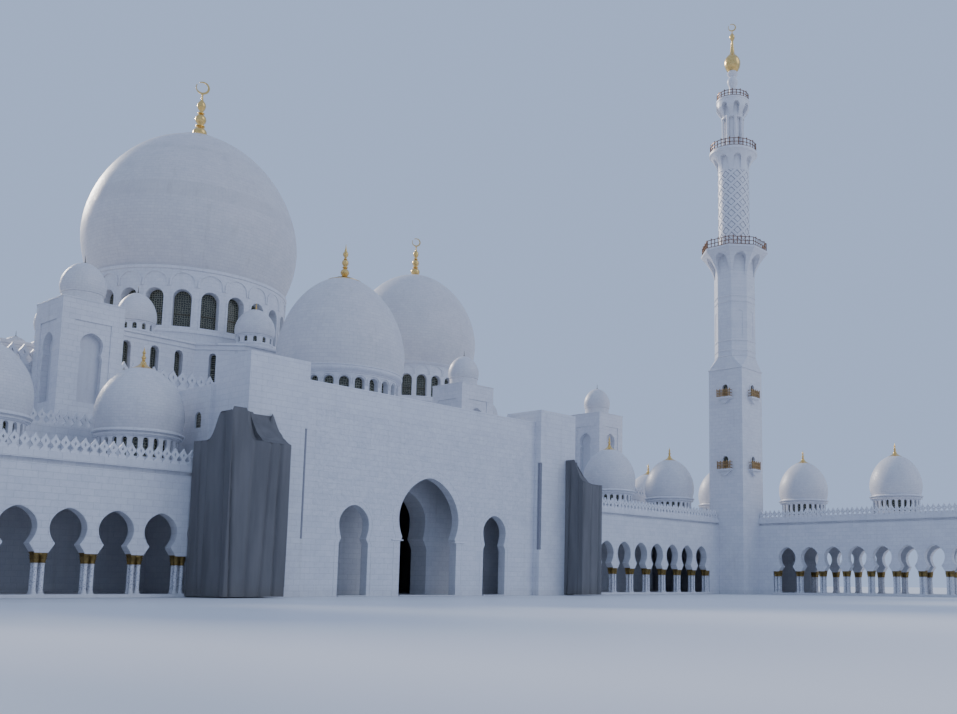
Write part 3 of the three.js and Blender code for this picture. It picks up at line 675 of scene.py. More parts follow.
def makePortal():
    pile, trim, slots, inner, panes = blanks(5)
    half, top, wall, x = pick(portal, "half top wall sideArchX")
    stamp(pile, kept(plate(comb(0, top, -half, half, portalHoles(mainArch, 20)), (), wall)))
    placePiece("portalWall", pile, panelMarble, ["portal_wall"])

    stamp(trim, archBand(mainArch, 0, 0, 0.86, 0.95, 0.03))
    for centre in (x, -x):
        stamp(trim, archBand(sideArch, centre, 0, 0.46, 0.54, 0.03))
    near, far, low, high = portal["impost"]
    toMain, toSide, dadoLow, dadoHigh = portal["dado"]
    for side in (-1, 1):
        stamp(trim, block(*sorted((side * near, side * far)), -0.14, 0.5, low, high, 0.03))
        for run in ((toMain, x - toSide), (x + toSide, half)):
            stamp(trim, block(*sorted(side * end for end in run), -0.035, 0.1, dadoLow, dadoHigh, 0.01))
    stamp(trim, block(-half, half, -0.05, wall + 0.06, top - 0.12, top + 0.04, 0.02))
    placePiece("portalTrim", trim, plainMarble)

    # Dark blocks deep in the pylon chases, painted shade of the slots.
    low, high = portal["slot"]
    for side in (-1, 1):
        span = sorted((side * (half + 0.03), side * (half + 0.22)))
        stamp(slots, block(*span, -0.98, -0.62, low + 0.02, high - 0.02))
    placePiece("pylonSlotShade", slots, paintedShadeMarble)

    arches = portal["innerWall"]
    outline = comb(0, arches["top"], -half, half, portalHoles(innerArch, 16))
    stamp(inner, kept(plate(outline, (), arches["thick"])), at(y=arches["y"]))
    stamp(inner, block(-half, half, wall, arches["back"], 0, portal["floor"]))
    sills = portal["sills"]
    for centre, wide in ((0, sills["middle"]), (x, sills["side"]), (-x, sills["side"])):
        stamp(inner, block(centre - wide, centre + wide, -0.2, 2.2, 0, portal["floor"], 0.02))
    placePiece("porchArchWall", inner, wallMarble, ["foyer_arch_wall"])

    window = portal["window"]
    outline = roundTop(0, window["half"] - 0.01, window["low"] + 0.01, window["top"] - 0.01)
    pane = kept(plate(outline, (), 0.1))
    for side in (-1, 1):
        stamp(panes, pane, at(side * window["x"], window["y"], turn=90 * side))
    placePiece("foyerWindowPanes", panes, wallLattice)


makePortal()
print("portal made")


# Parapets

merlon = {"pitch": 0.86, "height": 1.6, "thick": 0.26, "band": 0.06}


def merlonShape():
    outline = mirrored([(0.41, 0), (0.41, 0.16), (0.2, 0.36), (0.15, 0.5), (0.26, 0.66), (0.4, 0.84),
                        (0.41, 0.94), (0.31, 1.1), (0.17, 1.28), (0.07, 1.44), (0, merlon["height"])])
    eye = [(0, 0.72), (0.11, 0.92), (0, 1.14), (-0.11, 0.92)]
    return kept(plate(outline, [eye], merlon["thick"], -merlon["thick"] / 2))


merlonBody = merlonShape()


def parapet(pile, start, end, level, size=1.0):
    # A run of pierced merlons on a low band, from one point to another
    start, end = Vector((*start, 0)), Vector((*end, 0))
    run = end - start
    count = max(1, round(run.length / (merlon["pitch"] * size)))
    turn = math.degrees(math.atan2(run.y, run.x))
    middle = (start + end) / 2
    stamp(pile, blockRound(0, 0, run.length / 2, 0.22, 0, merlon["band"], 0.03),
          at(middle.x, middle.y, level, turn))
    for i in range(count):
        spot = start + run * ((i + 0.5) / count)
        stamp(pile, merlonBody, at(spot.x, spot.y, level + merlon["band"] - 0.04, turn, size))


# Arcades

arcadeArch = archSizes(1.55, 4.05, 1.06, 4.82, 1.64, 6.3, 8.067)
arcade = {
    "bay": 4.304, "wall": 1.2, "top": 13.4, "archFoot": 3.98, "bandTop": 13.0, "plinthTop": 0.32,
    "plinthStep": 0.2, "front": 1.848, "back": 16.9, "first": 28.144, "bays": 9, "foyerHalf": 26.2,
    "hallSide": 69.1, "sideInner": 73.53, "sideOuter": 88.55, "sideFirst": -8.53, "sideBays": 8,
    "sideBack": 35.3, "roofThick": 0.8, "groove": (11.9, 12.3),
}
column = {"step": 0.3, "gap": 0.27, "long": 0.62, "deep": 0.56}
tower = {"x": 71.666, "y": 0.337, "half": 3.432}


def arcadeWall(pile, centres, low, high, front):
    # The wall over a row of arches, with its dark groove and its plain upper band
    wall, foot = arcade["wall"], arcade["archFoot"]
    grooveLow, grooveHigh = arcade["groove"]
    arches = [keyhole(arcadeArch, centre, foot, 4, 9) for centre in centres]
    place = at(y=front)
    stamp(pile, kept(plate(comb(foot, grooveLow, low, high, arches), (), wall)), place)
    stamp(pile, block(low, high, 0.4, wall, grooveLow - 0.05, grooveHigh + 0.05), place)
    stamp(pile, block(low, high, -0.05, wall, grooveHigh, arcade["bandTop"], 0.02), place)
    stamp(pile, block(low, high, 0.46, wall, grooveHigh, arcade["top"]), place)
    for centre in centres:
        stamp(pile, archBand(arcadeArch, centre, foot, 0.03, 0.12, 0.025), place)


def leaf(length, width, curl):
    # One curled leaf of a capital, its foot at the origin and rising
    mesh = blank()
    bmesh.ops.create_grid(mesh, x_segments=2, y_segments=4, size=0.5)
    for vert in mesh.verts:
        along = vert.co.y + 0.5
        side = vert.co.x * 2 * width * (math.sin(math.pi * min(1, along * 0.8 + 0.18)) ** 0.7)
        out = curl * along ** 2.2 - 0.25 * abs(vert.co.x) * width
        vert.co = (side, -out, length * (along - 0.18 * max(0, along - 0.8) * 4))
    bmesh.ops.solidify(mesh, geom=mesh.faces[:], thickness=0.02)
    return kept(mesh)


def capitalShape():
    pile = blank()
    stamp(pile, solidTurned([(0.24, 3.1), (0.26, 3.16), (0.21, 3.2), (0.22, 3.5), (0.28, 3.8),
                             (0.34, 3.93)], 12))
    stampRound(pile, leaf(0.66, 0.13, 0.20), 8, Matrix.Translation((0, -0.2, 3.2)))
    stampRound(pile, leaf(0.42, 0.13, 0.13), 8, Matrix.Translation((0, -0.21, 3.18)), 0.5)
    return kept(pile)


columnBody = solidTurned([(0.34, 0.30), (0.34, 0.42), (0.29, 0.47), (0.31, 0.54), (0.25, 0.60), (0.23, 0.66),
                          (0.215, 2.98), (0.25, 3.02), (0.25, 3.08), (0.2, 3.12)], 14)
capitalBody = capitalShape()


def columnPair(shafts, capitals, x, y, alongX=True):
    long, deep, step, gap = pick(column, "long deep step gap")
    hx, hy = (long, deep) if alongX else (deep, long)
    stamp(shafts, blockRound(x, y, hx, hy, arcade["plinthTop"] - 0.05, 0.36, 0.03))
    stamp(capitals, blockRound(x, y, hx, hy, 3.96, 4.1, 0.03))
    stamp(capitals, blockRound(x, y, hx - 0.05, hy - 0.05, 3.8, 3.97, 0.03))
    for along in (-step, step):
        for across in (-gap, gap):
            dx, dy = (along, across) if alongX else (across, along)
            for pile, shape, width in ((shafts, columnBody, 0.82), (capitals, capitalBody, 1.04)):
                stamp(pile, shape, at(x + dx, y + dy) @ Matrix.Diagonal((width, width, 1, 1)))


# Outlines of the gold finials, as shares of the lowest ball's radius and of the height
skirtedFinial = [
    (1.3, 0), (1.25, 0.01), (0.8, 0.05), (0.62, 0.09), (0.8, 0.12), (1.0, 0.186), (0.85, 0.25),
    (0.55, 0.285), (0.5, 0.3), (0.65, 0.328), (0.5, 0.35), (0.48, 0.375), (0.7, 0.41), (0.76, 0.46),
    (0.62, 0.515), (0.4, 0.54), (0.47, 0.568), (0.36, 0.59), (0.34, 0.62), (0.52, 0.65), (0.6, 0.695),
    (0.5, 0.735), (0.38, 0.76), (0.28, 0.8), (0.18, 0.86), (0.08, 0.92), (0, 1.0),
]
spikeFinial = [
    (4.6, -0.05), (4.6, 0.0), (1.2, 0.05), (0.9, 0.1), (1.0, 0.16), (0.6, 0.22), (0.5, 0.4), (0.35, 0.7),
    (0, 1.0),
]


def finialShape(steps, ball, height):
    return turned([(0, 0)] + [(ball * across, height * up) for across, up in steps], 24)


arcadeDome = {
    "radius": 4.35, "height": 5.28, "middle": 18.4, "foot": 16.75, "drum": 3.85, "windows": 24,
    "drumEnds": (13.2, 15.98), "opening": (0.27, 13.9, 15.85), "glass": (3.42, 13.45, 15.95),
    "wingSpots": [(31.68, 9.36), (46.6, 9.36), (63.86, 9.36), (81.04, 9.36), (81.04, 26.66)],
    "sideSpots": [(81.04, -8.02), (81.04, -25.34)],
}


def arcadeDomeShapes():
    radius, height, middle, foot, drum, windows = pick(arcadeDome, "radius height middle foot drum windows")
    walls, tip = blanks(2)
    opening = roundTop(0, *arcadeDome["opening"], 4)
    stampRound(walls, roundBay(drum, windows, *arcadeDome["drumEnds"], opening, 0.35, 2), windows)
    stamp(walls, turned([
        (3.3, 15.96), (3.98, 15.96), (4.02, 16.06), (4.26, 16.12), (4.26, 16.24), (4.1, 16.28), (4.12, 16.36),
        (4.42, 16.44), (4.42, 16.58), (4.2, 16.64), (4.16, 16.75), (3.3, 16.75), (3.3, 15.96)], 48))
    crown = at(z=middle + height)
    stamp(tip, solidTurned([(1.28, -0.38), (1.32, -0.31), (1.2, -0.25), (0.85, -0.1), (0.55, 0.1),
                            (0.34, 0.3), (0.26, 0.42)], 28), crown)
    stamp(tip, finialShape(skirtedFinial, 0.3, 2.2), crown)
    cap = domeShape(radius, height, middle, foot, 18, 64)
    return kept(walls), rod(*arcadeDome["glass"], 24), cap, kept(tip)


arcadeDomeParts = arcadeDomeShapes()


def putArcadeDomes(spots, name, finials):
    walls, glass, caps = blanks(3)
    for x, y in spots:
        stampAll((walls, glass, caps, finials), arcadeDomeParts, at(x, y))
    placePair(f"{name}DomeDrums", walls, roundMarble)
    placePair(f"{name}DomeGlass", glass, drumLattice)
    placePair(f"{name}Domes", caps, smallMosaic)


def arcadeRoof(name, node, runs):
    roof = blank()
    for run in runs:
        stamp(roof, block(*run, arcade["top"] - arcade["roofThick"], arcade["top"]))
    placePair(name, roof, wallMarble, node)


def makeWings():
    bay, bays, front, back, foot = pick(arcade, "bay bays front back archFoot")
    end, towerBack = tower["x"] - tower["half"], tower["y"] + tower["half"]
    firstPier = arcade["first"] - bay / 2
    lastPier = firstPier + bays * bay
    wall, shafts, capitals = blanks(3)
    arcadeWall(wall, [arcade["first"] + i * bay for i in range(bays)], portal["pylonOuter"], end, front)
    wallBack = front + arcade["wall"]
    stamp(wall, block(lastPier + 0.5, end, front, wallBack, 0, foot + 0.02))
    placePair("WingWall", wall, wallMarble, "wing_wall")

    stamp(shafts, block(arcade["foyerHalf"], lastPier + 0.5, front - arcade["plinthStep"], back, 0,
                        arcade["plinthTop"], 0.03))
    for i in range(1, bays + 1):
        x = firstPier + i * bay - (0.1 if i == bays else 0)
        columnPair(shafts, capitals, x, front + arcade["wall"] / 2)
    placePair("WingColumns", shafts, inlaidMarble, "wing_columns")
    placePair("WingCapitals", capitals, capitalGold)

    outer = arcade["sideOuter"] - arcade["wall"]
    arcadeRoof("WingRoof", "wing_roof", [
        (arcade["foyerHalf"], end, wallBack, back), (end, outer, towerBack, back),
        (arcade["hallSide"], outer, back, arcade["sideBack"] - arcade["wall"])])


def sideWall(centres, low, high, place):
    pile = blank()
    arcadeWall(pile, centres, low, high, 0)
    return moved(pile, place)


def makeSideArcades():
    bay, bays, wall, inner, outer = pick(arcade, "bay sideBays wall sideInner sideOuter")
    near, back, step = tower["y"] - tower["half"], arcade["sideBack"], arcade["plinthStep"]
    firstPier = arcade["sideFirst"] + bay / 2
    pierEnd, end = firstPier + 0.5, firstPier - bays * bay
    centres = [arcade["sideFirst"] - i * bay for i in range(bays)]
    outerFront = outer - wall
    base = 0, arcade["archFoot"] + 0.02

    court = sideWall([-centre for centre in centres], -near, -end, at(x=inner, turn=-90))
    stamp(court, block(inner, inner + wall, pierEnd, near, *base))
    placePair("SideCourtWall", court, wallMarble, "side_arcade_inner_wall")

    outside = sideWall(centres[::-1], end, back, at(x=outer, turn=90))
    stamp(outside, block(outerFront, outer, pierEnd, back, *base))
    stamp(outside, block(arcade["hallSide"], outerFront + 0.1, back - wall, back, 0, arcade["top"]))
    placePair("SideOuterWall", outside, wallMarble, "side_arcade_outer_wall")

    shafts, capitals = blanks(2)
    stamp(shafts, block(inner - step, outer + step, end, pierEnd, 0, arcade["plinthTop"], 0.03))
    for i in range(bays + 1):
        y = end + i * bay + {0: 0.7, bays: -0.1}.get(i, 0)
        for x in (inner + wall / 2, outer - wall / 2):
            columnPair(shafts, capitals, x, y, False)
    placePair("SideColumns", shafts, inlaidMarble, "side_arcade_columns")
    placePair("SideCapitals", capitals, capitalGold)

    arcadeRoof("SideRoof", "side_arcade_roof", [
        (inner + wall, outerFront, end, near),
        (tower["x"] + tower["half"], outerFront, near, arcade["front"] + wall)])


def makeArcadeRoofs():
    finials, courtMerlons, outerMerlons = blanks(3)
    putArcadeDomes(arcadeDome["wingSpots"], "Wing", finials)
    putArcadeDomes(arcadeDome["sideSpots"], "Side", finials)
    placePair("ArcadeFinials", finials, goldLeaf)

    top, inner, outer, back = pick(arcade, "bandTop sideInner sideOuter sideBack")
    near = tower["y"] - tower["half"]
    end = arcade["sideFirst"] + arcade["bay"] / 2 - arcade["sideBays"] * arcade["bay"]
    front = arcade["front"] + 0.3
    parapet(courtMerlons, (portal["pylonOuter"] + 0.1, front), (tower["x"] - tower["half"], front), top)
    parapet(courtMerlons, (inner + 0.3, end), (inner + 0.3, near), top)
    placePair("CourtParapet", courtMerlons, plainMarble)
    parapet(outerMerlons, (outer - 0.3, end), (outer - 0.3, back), top)
    parapet(outerMerlons, (inner + 0.6, end + 0.3), (outer - 0.6, end + 0.3), top + 0.3)
    parapet(outerMerlons, (arcade["hallSide"] + 0.3, back - 0.3), (outer - 0.6, back - 0.3), top)
    placePair("OuterParapet", outerMerlons, plainMarble)


makeWings()
makeSideArcades()
makeArcadeRoofs()
print("arcades made")


# Prayer hall storeys

hall = {
    "half": arcade["hallSide"], "front": arcade["back"], "lowTop": 17.6, "upperFront": 31.1, "back": 94,
    "upperTop": 26.4,
}
clerestory = {
    "half": 23.1, "front": 37.4, "back": 83.5, "top": 34.4, "bayHalf": 6.36, "bayBack": 10.9,
    "bayFront": 32.3,
}
flankStorey = {"inner": 31, "outer": 65.2, "front": 36, "back": 85, "top": 30}
# Place, level of the roof, foot and crown of each small dome, and its radius
roofDomes = {
    "ClerestoryDome": [(18, 40.3, 34.4, 36.2, 40.4, 2.55), (18, 80.6, 34.4, 36.2, 40.4, 2.55),
                       (20.1, 60.5, 34.4, 37.9, 42.1, 2.9)],
    "middleDome": [(0, 40.5, 34.4, 37.9, 42.1, 2.9), (0, 80.5, 34.4, 37.9, 42.1, 2.9)],
    "HallDome": [(48.3, 40.5, 30, 31.9, 35.4, 2.4), (29.4, 40.5, 26.4, 28.5, 31.7, 2.2)],
}


def roofDomeShapes(base, foot, crown, radius, skirt):
    # A small dome on a low drum with a ring of openings
    walls, tip = blanks(2)
    drum, windows, swell = radius * 0.9, 12, radius * 0.3
    opening = roundTop(0, 0.28, foot - 1.2, foot - 0.35, 4)
    stampRound(walls, roundBay(drum, windows, base - 0.2, foot, opening, 0.25, 2), windows)
    for level, out in ((foot - 0.2, 0.14), (foot - 1.45, 0.06)):
        stamp(walls, ringMoulding(drum, [(out, level), (out, level + 0.12)], 40))
    finial, ball = (skirtedFinial, 0.16) if skirt else (spikeFinial, 0.085)
    stamp(tip, finialShape(finial, ball, 1.1), at(z=crown - 0.03))
    cap = domeShape(radius, crown - foot - swell, foot + swell, foot, 14, 48)
    return kept(walls), rod(drum - 0.26, base, foot - 0.1, 24), cap, kept(tip)


def putRoofDomes(name, put=placePair, skirt=False):
    piles = blanks(4)
    for x, y, *sizes in roofDomes[name]:
        stampAll(piles, roofDomeShapes(*sizes, skirt), at(x, y))
    looks = roundMarble, drumLattice, smallMosaic, goldLeaf if skirt else darkBronze
    for title, pile, look in zip(("Drums", "Glass", "Caps", "Tips"), piles, looks):
        put(f"{name}{title}", pile, look)


def clerestoryPlan(out):
    # Outline of the clerestory with its canted middle bay, grown outwards
    front, bayFront = clerestory["front"], clerestory["bayFront"]
    run, depth = clerestory["bayBack"] - clerestory["bayHalf"], front - bayFront
    shift = out * (math.hypot(run, depth) - run) / depth
    outer = clerestory["half"] + out
    return mirrored([
        (clerestory["bayHalf"] + shift, bayFront - out), (clerestory["bayBack"] + shift, front - out),
        (outer, front - out), (outer, clerestory["back"] + out)])


def clerestorySlab(pile, out, low, high):
    shape = kept(plate([(x, -y) for x, y in clerestoryPlan(out)], (), high - low, low))
    stamp(pile, shape, Matrix.Rotation(math.radians(90), 4, "X"))


def makeHallRoofs():
    upper, lid, longMerlons, merlons = blanks(4)
    half, low, top, back = pick(hall, "half lowTop upperTop back")
    setBack = hall["upperFront"] + 0.5
    stamp(upper, block(-half, half, setBack, back, top - 1.05, top))
    front, rear, roof = pick(flankStorey, "front back top")
    for side in (-1, 1):
        left, right = sorted((side * flankStorey["inner"], side * flankStorey["outer"]))
        stamp(upper, block(left, right, front, rear, top, roof, 0.04))
        stamp(upper, block(left - 0.12, right + 0.12, front - 0.12, rear + 0.12, roof - 0.5, roof - 0.22,
                           0.03))
    placePiece("upperRoof", upper, wallMarble, ["hall_upper_roof"])

    high = clerestory["top"]
    for out, foot, level in ((0, -1, 0), (0.12, -0.95, -0.75), (0.16, -0.25, 0.05)):
        clerestorySlab(lid, out, high + foot, high + level)
    placePiece("clerestoryRoof", lid, wallMarble, ["clerestory_roof"])

    putRoofDomes("ClerestoryDome")
    putRoofDomes("middleDome", placePiece, True)
    putRoofDomes("HallDome")

    large = 1.5
    for y in (setBack + 0.2, back - 0.3):
        parapet(longMerlons, (-half, y), (half, y), top, large)
    placePiece("upperParapet", longMerlons, plainMarble)
    parapet(merlons, (half - 0.3, setBack + 0.6), (half - 0.3, back - 0.6), top, large)
    parapet(merlons, (arcade["foyerHalf"] + 0.2, hall["front"] + 0.3), (half - 0.2, hall["front"] + 0.3), low)
    parapet(merlons, (half - 0.3, hall["front"] + 0.6), (half - 0.3, hall["upperFront"] - 0.3), low)
    placePair("HallParapet", merlons, plainMarble)


turret = {
    "half": 3.515, "top": 33.55, "y": 27.56, "frameHalf": 2.07, "frameLow": 19.5, "frameTop": 31.03,
    "nicheFoot": 21.6, "places": {"Inner": 30.6, "Outer": 65.55},
    "cupola": {"radius": 2.5, "height": 2.95, "middle": 35.85, "foot": 35.1},
}
turretNiche = archSizes(1.27, 26.9, 1.07, 27.3, 1.3, 28.5, 29.75)


def turretFace(niche):
    # One face of a turret: a sunk keyhole niche inside a fine sunk frame
    half, inner = turret["half"], turret["frameHalf"]
    outline = rectangle(half, hall["lowTop"], turret["top"])
    sunkFrame = rectangle(inner, turret["frameLow"], turret["frameTop"])
    pile = blank()
    stamp(pile, kept(mitred(plate(outline, [sunkFrame], 0.12), half)))
    stamp(pile, kept(mitred(plate(outline, [niche], 0.8, 0.12), half)))
    return kept(pile)


def makeTurrets():
    niche = keyhole(turretNiche, 0, turret["nicheFoot"], 4, 9)
    # The niche's back panel takes the darker tinted marble, painted shade inside the niche.
    face, panel = turretFace(niche), kept(plate(niche, (), 0.05, 0.86))
    half, low, top, y = turret["half"], hall["lowTop"], turret["top"], turret["y"]
    core, eave, dome = half - 0.9, half + 0.05, turret["cupola"]
    for name, x in turret["places"].items():
        walls, nicheShadePanels, cupola, tip = blanks(4)
        for i in range(4):
            place = at(x, y, turn=90 * i) @ Matrix.Translation((0, -half, 0))
            stampAll((walls, nicheShadePanels), (face, panel), place)
        stamp(walls, blockRound(x, y, core, core, low, top - 0.1))
        stamp(walls, blockRound(x, y, eave, eave, top - 0.16, top + 0.04, 0.02))
        placePair(f"{name}TurretWalls", walls, wallMarble, f"{name.lower()}_turret")
        stamp(cupola, solidTurned([(2.38, top - 0.1), (2.38, top + 0.1), (2.26, top + 0.16), (2.26, 34.86),
                                   (2.4, 34.94), (2.4, 35.08), (2.3, 35.12)], 48), at(x, y))
        stamp(cupola, domeShape(*pick(dome, "radius height middle foot"), 14, 48), at(x, y))
        stamp(tip, finialShape(spikeFinial, 0.085, 1.1), at(x, y, dome["middle"] + dome["height"] - 0.03))
        placePair(f"{name}TurretPanels", nicheShadePanels, nicheShadeMarble)
        placePair(f"{name}TurretCupola", cupola, smallMosaic)
        placePair(f"{name}TurretTip", tip, darkBronze)


makeHallRoofs()
makeTurrets()
print("prayer hall made")


# Large domes

mainDome = {
    "name": "main", "x": 0, "y": 60.47, "radius": 16.45, "height": 18.55, "middle": 56.2, "foot": 48.3,
    "drum": 15.0, "drumTop": 48.3, "base": 34.4, "half": 1.3, "low": 39.05, "top": 44.75, "shift": 0.9,
    "wall": 1.3, "arches": (45.5, 47.5), "sides": 144, "rows": 44, "finialTop": 85,
    "recess": 0.28, "cornice": [(0.05, 47.75), (0.16, 47.85), (0.2, 48.25), (0.02, 48.32)],
}
flankDome = {
    "name": "flank", "x": 47.3, "y": 60.5, "radius": 12.4, "height": 14.3, "middle": 48.7, "foot": 43.1,
    "drum": 10.8, "drumTop": 43.1, "base": 30.0, "half": 0.98, "low": 36.5, "top": 40.7, "shift": 0,
    "wall": 1.0, "arches": (41.1, 42.5), "sides": 112, "rows": 36, "finialTop": 70.9,
    "recess": 0.24, "cornice": [(0.05, 42.62), (0.2, 42.72), (0.42, 43.05), (0.4, 43.12)],
}
foyerDome = {
    "name": "foyer", "x": 0, "y": 19.0, "radius": 8.45, "height": 11.3, "middle": 31.6, "foot": 29.3,
    "drum": 7.6, "drumTop": 28.4, "base": 22.3, "half": 0.66, "low": 25.2, "top": 27.9, "shift": 0.85,
    "wall": 0.7, "arches": (27.2, 28.2), "sides": 96, "rows": 30, "finialTop": 47.8, "recess": 0.1,
    "cornice": [(0.04, 28.3), (0.1, 28.36), (0.08, 28.46), (0.34, 28.56), (0.6, 28.8), (0.66, 28.9),
                (0.66, 29.02), (0.52, 29.08), (0.52, 29.18), (0.64, 29.24), (0.62, 29.32)],
}
drumWindows = 24

# Outlines of the tall finials, as shares of their height
ringFinial = [
    (0.09, 0), (0.06, 0.012), (0.085, 0.04), (0.105, 0.08), (0.109, 0.107), (0.103, 0.145), (0.08, 0.18),
    (0.045, 0.205), (0.045, 0.212), (0.072, 0.222), (0.072, 0.234), (0.04, 0.245), (0.05, 0.268),
    (0.076, 0.3), (0.086, 0.344), (0.076, 0.388), (0.045, 0.425), (0.03, 0.437), (0.053, 0.446),
    (0.053, 0.457), (0.03, 0.468), (0.035, 0.5), (0.057, 0.53), (0.068, 0.578), (0.058, 0.625),
    (0.034, 0.658), (0.022, 0.68), (0.013, 0.75), (0.02, 0.775), (0.012, 0.79), (0, 0.79),
]
coneFinial = [
    (0.26, 0), (0.2, 0.012), (0.1, 0.045), (0.07, 0.075), (0.1, 0.12), (0.12, 0.178), (0.1, 0.235),
    (0.06, 0.28), (0.045, 0.3), (0.076, 0.32), (0.076, 0.335), (0.045, 0.352), (0.06, 0.385),
    (0.085, 0.42), (0.092, 0.467), (0.08, 0.512), (0.045, 0.55), (0.03, 0.556), (0.05, 0.565),
    (0.05, 0.577), (0.03, 0.588), (0.035, 0.62), (0.062, 0.66), (0.076, 0.705), (0.066, 0.75),
    (0.04, 0.785), (0.036, 0.8), (0.018, 0.88), (0.004, 1.0), (0, 1.0),
]


def scallop(dome):
    # A raised rib in the shape of a low arch over each window
    half = math.pi * dome["drum"] / drumWindows
    low, high = dome["arches"]
    foot, rise, wide, narrow = low - 0.32, high - low, 0.97 * half, 0.84 * half
    outer, inner = [], []
    for i in range(13):
        angle = math.pi * i / 12
        outer.append((wide * math.cos(angle), low + rise * math.sin(angle) ** 0.8))
        inner.append((narrow * math.cos(angle), low + rise * 0.87 * math.sin(angle) ** 0.8))
    feet = [(-wide, foot), (-narrow, foot)], [(narrow, foot), (wide, foot)]
    mesh = plate(outer + feet[0] + inner[::-1] + feet[1], (), 0.2, -0.14)
    bend(mesh, dome["drum"])
    return kept(mesh)


def drumShapes(dome):
    walls, glass, bars = blanks(3)
    radius, low, top, half, wall, recess = pick(dome, "drum low top half wall recess")
    opening = roundTop(0, half, low, top, 7)
    bayShape = roundBay(radius, drumWindows, low - 1.2, dome["drumTop"], opening, wall, 6)
    outer = roundTop(0, half + recess, low - 0.25, top + recess, 7)
    trim = plate(outer, [roundTop(0, half + 0.02, low, top + 0.02, 7)], 0.15, -0.07)
    bend(trim, radius)
    shapes = bayShape, kept(trim), scallop(dome)
    level = low + (top - low) * 0.37
    bar = block(-half, half, 0, 0.1, level - 0.07, level + 0.07)
    barPlace = Matrix.Translation((0, wall - 0.1 - radius * math.cos(half / radius), 0))
    for i in range(drumWindows):
        place = at(turn=360 / drumWindows * (i + dome["shift"]))
        stampAll([walls] * 3, shapes, place)
        stamp(bars, bar, place @ barPlace)
    stamp(glass, rod(radius - wall - 0.02, low - 0.6, top + 0.6, 96, 0.34))
    return walls, glass, bars


def crescent(radius, thick):
    # An upright crescent, nearly closed, thickest on its right
    outer, inner = [], []
    for i in range(37):
        angle = math.radians(150 + 330 * i / 36)
        outer.append((radius * math.cos(angle), radius + radius * math.sin(angle)))
        inner.append((radius * (0.79 * math.cos(angle) - 0.08), radius * (1.06 + 0.79 * math.sin(angle))))
    return kept(plate(outer + inner[::-1], (), thick, -thick / 2))


def crownLevel(dome, radius):
    return dome["middle"] + domeAcross(dome["height"], dome["radius"], radius)


def crownCap(dome, reach, thick):
    # A thin round cap that follows the crown of a dome
    rows = [(reach * (1 - i / 8), crownLevel(dome, reach * (1 - i / 8)) + thick) for i in range(9)]
    return turned([(0, rows[0][1] - thick - 0.05), (reach, rows[0][1] - thick - 0.05)] + rows, 64)


def largeFinial(dome, turn):
    gold = blank()
    foot = crownLevel(dome, 0) - 0.05
    height = dome["finialTop"] - foot
    if dome is foyerDome:
        stamp(gold, crownCap(dome, 2.3, 0.07))
    stamp(gold, finialShape(coneFinial if dome is foyerDome else ringFinial, height, height), at(z=foot))
    if dome is not foyerDome:
        ring = height * 0.108
        stamp(gold, crescent(ring, 0.14), at(z=dome["finialTop"] - 2 * ring, turn=turn))
    return kept(gold)


def makeLargeDome(dome):
    walls, glass, bars = drumShapes(dome)
    radius, base, low, x, y, name = pick(dome, "drum base low x y name")
    sill = [(0.04, low - 0.95), (0.14, low - 0.88), (0.14, low - 0.6), (0.04, low - 0.5)]
    for steps in ([(0, base), (0, low - 1.15)], sill, dome["cornice"]):
        stamp(walls, ringMoulding(radius, steps))
    cap = blank()
    sizes = pick(dome, "radius height middle foot rows sides")
    stamp(cap, domeShape(*sizes, 1.05, 5))
    if dome is mainDome:
        stamp(cap, crownCap(dome, 3.9, 0.16))
    for title, pile, look, node in (
            ("Drum", walls, roundMarble, "drum"), ("DrumGlass", glass, drumLattice, "drum_glass"),
            ("DrumBars", bars, darkBronze, None), ("Dome", cap, domeMosaic, "dome")):
        pile = moved(pile, at(x, y))
        if x:
            placePair(f"Flank{title}", pile, look, node and f"flank_{node}")
        else:
            placePiece(f"{name}{title}", pile, look, [f"{name}_{node}"] if node else [])
    for side, prefix, turn in ((1, "right", -40), (-1, "left", -12)) if x else ((1, "", -28),):
        gold = blank()
        stamp(gold, largeFinial(dome, turn), at(side * x, y))
        placePiece(f"{prefix}{name.title() if x else name}Finial", gold, goldLeaf,
                   [f"{prefix}_{name}_dome_finial" if x else f"{name}_dome_finial"])


for dome in (mainDome, flankDome, foyerDome):
    makeLargeDome(dome)
print("large domes made")


# Corner towers

shaft = {
    "blockTop": 39.6, "octagonFoot": 41.96, "octagon": 3.72, "balconies": (21.75, 34.6), "door": (0.56, 2.3),
    "deck": (61.3, 61.85), "deckRadius": 6.1, "rings": (42.05, 43.06, 44.86, 51.96, 53.02),
    "panel": (45.36, 50.45), "upper": 2.8, "crossing": 67.64, "strapRise": 2.15, "gallery": 81.05,
    "lanternTop": 91.33, "lanternPosts": 1.85, "moonLevel": 105.6,
    # Half width, foot and top of the arches in each flaring ring
    "flareArch": (1.1, 57.0, 60.75), "corbelArch": (0.72, 77.4, 79.85), "bellArch": (0.56, 88.1, 90.3),
}
# Level and radius up each flaring ring
flareRows = [
    (56.9, 3.72), (57.5, 3.8), (58.2, 4.0), (58.9, 4.33), (59.6, 4.75), (60.2, 5.15), (60.8, 5.62),
    (61.3, 6.1),
]
corbelRows = [
    (77.3, 2.86), (77.9, 2.93), (78.4, 3.05), (79.1, 3.36), (79.7, 3.68), (80.1, 3.95), (80.5, 4.25),
]
bellRows = [
    (87.95, 2.0), (88.3, 2.2), (88.7, 2.47), (89.15, 2.8), (89.6, 3.05), (90.3, 3.08), (90.95, 3.04),
]
knobBody = turned([(0, 0), (0.08, 0.03), (0.12, 0.12), (0.07, 0.22), (0, 0.27)], 8)


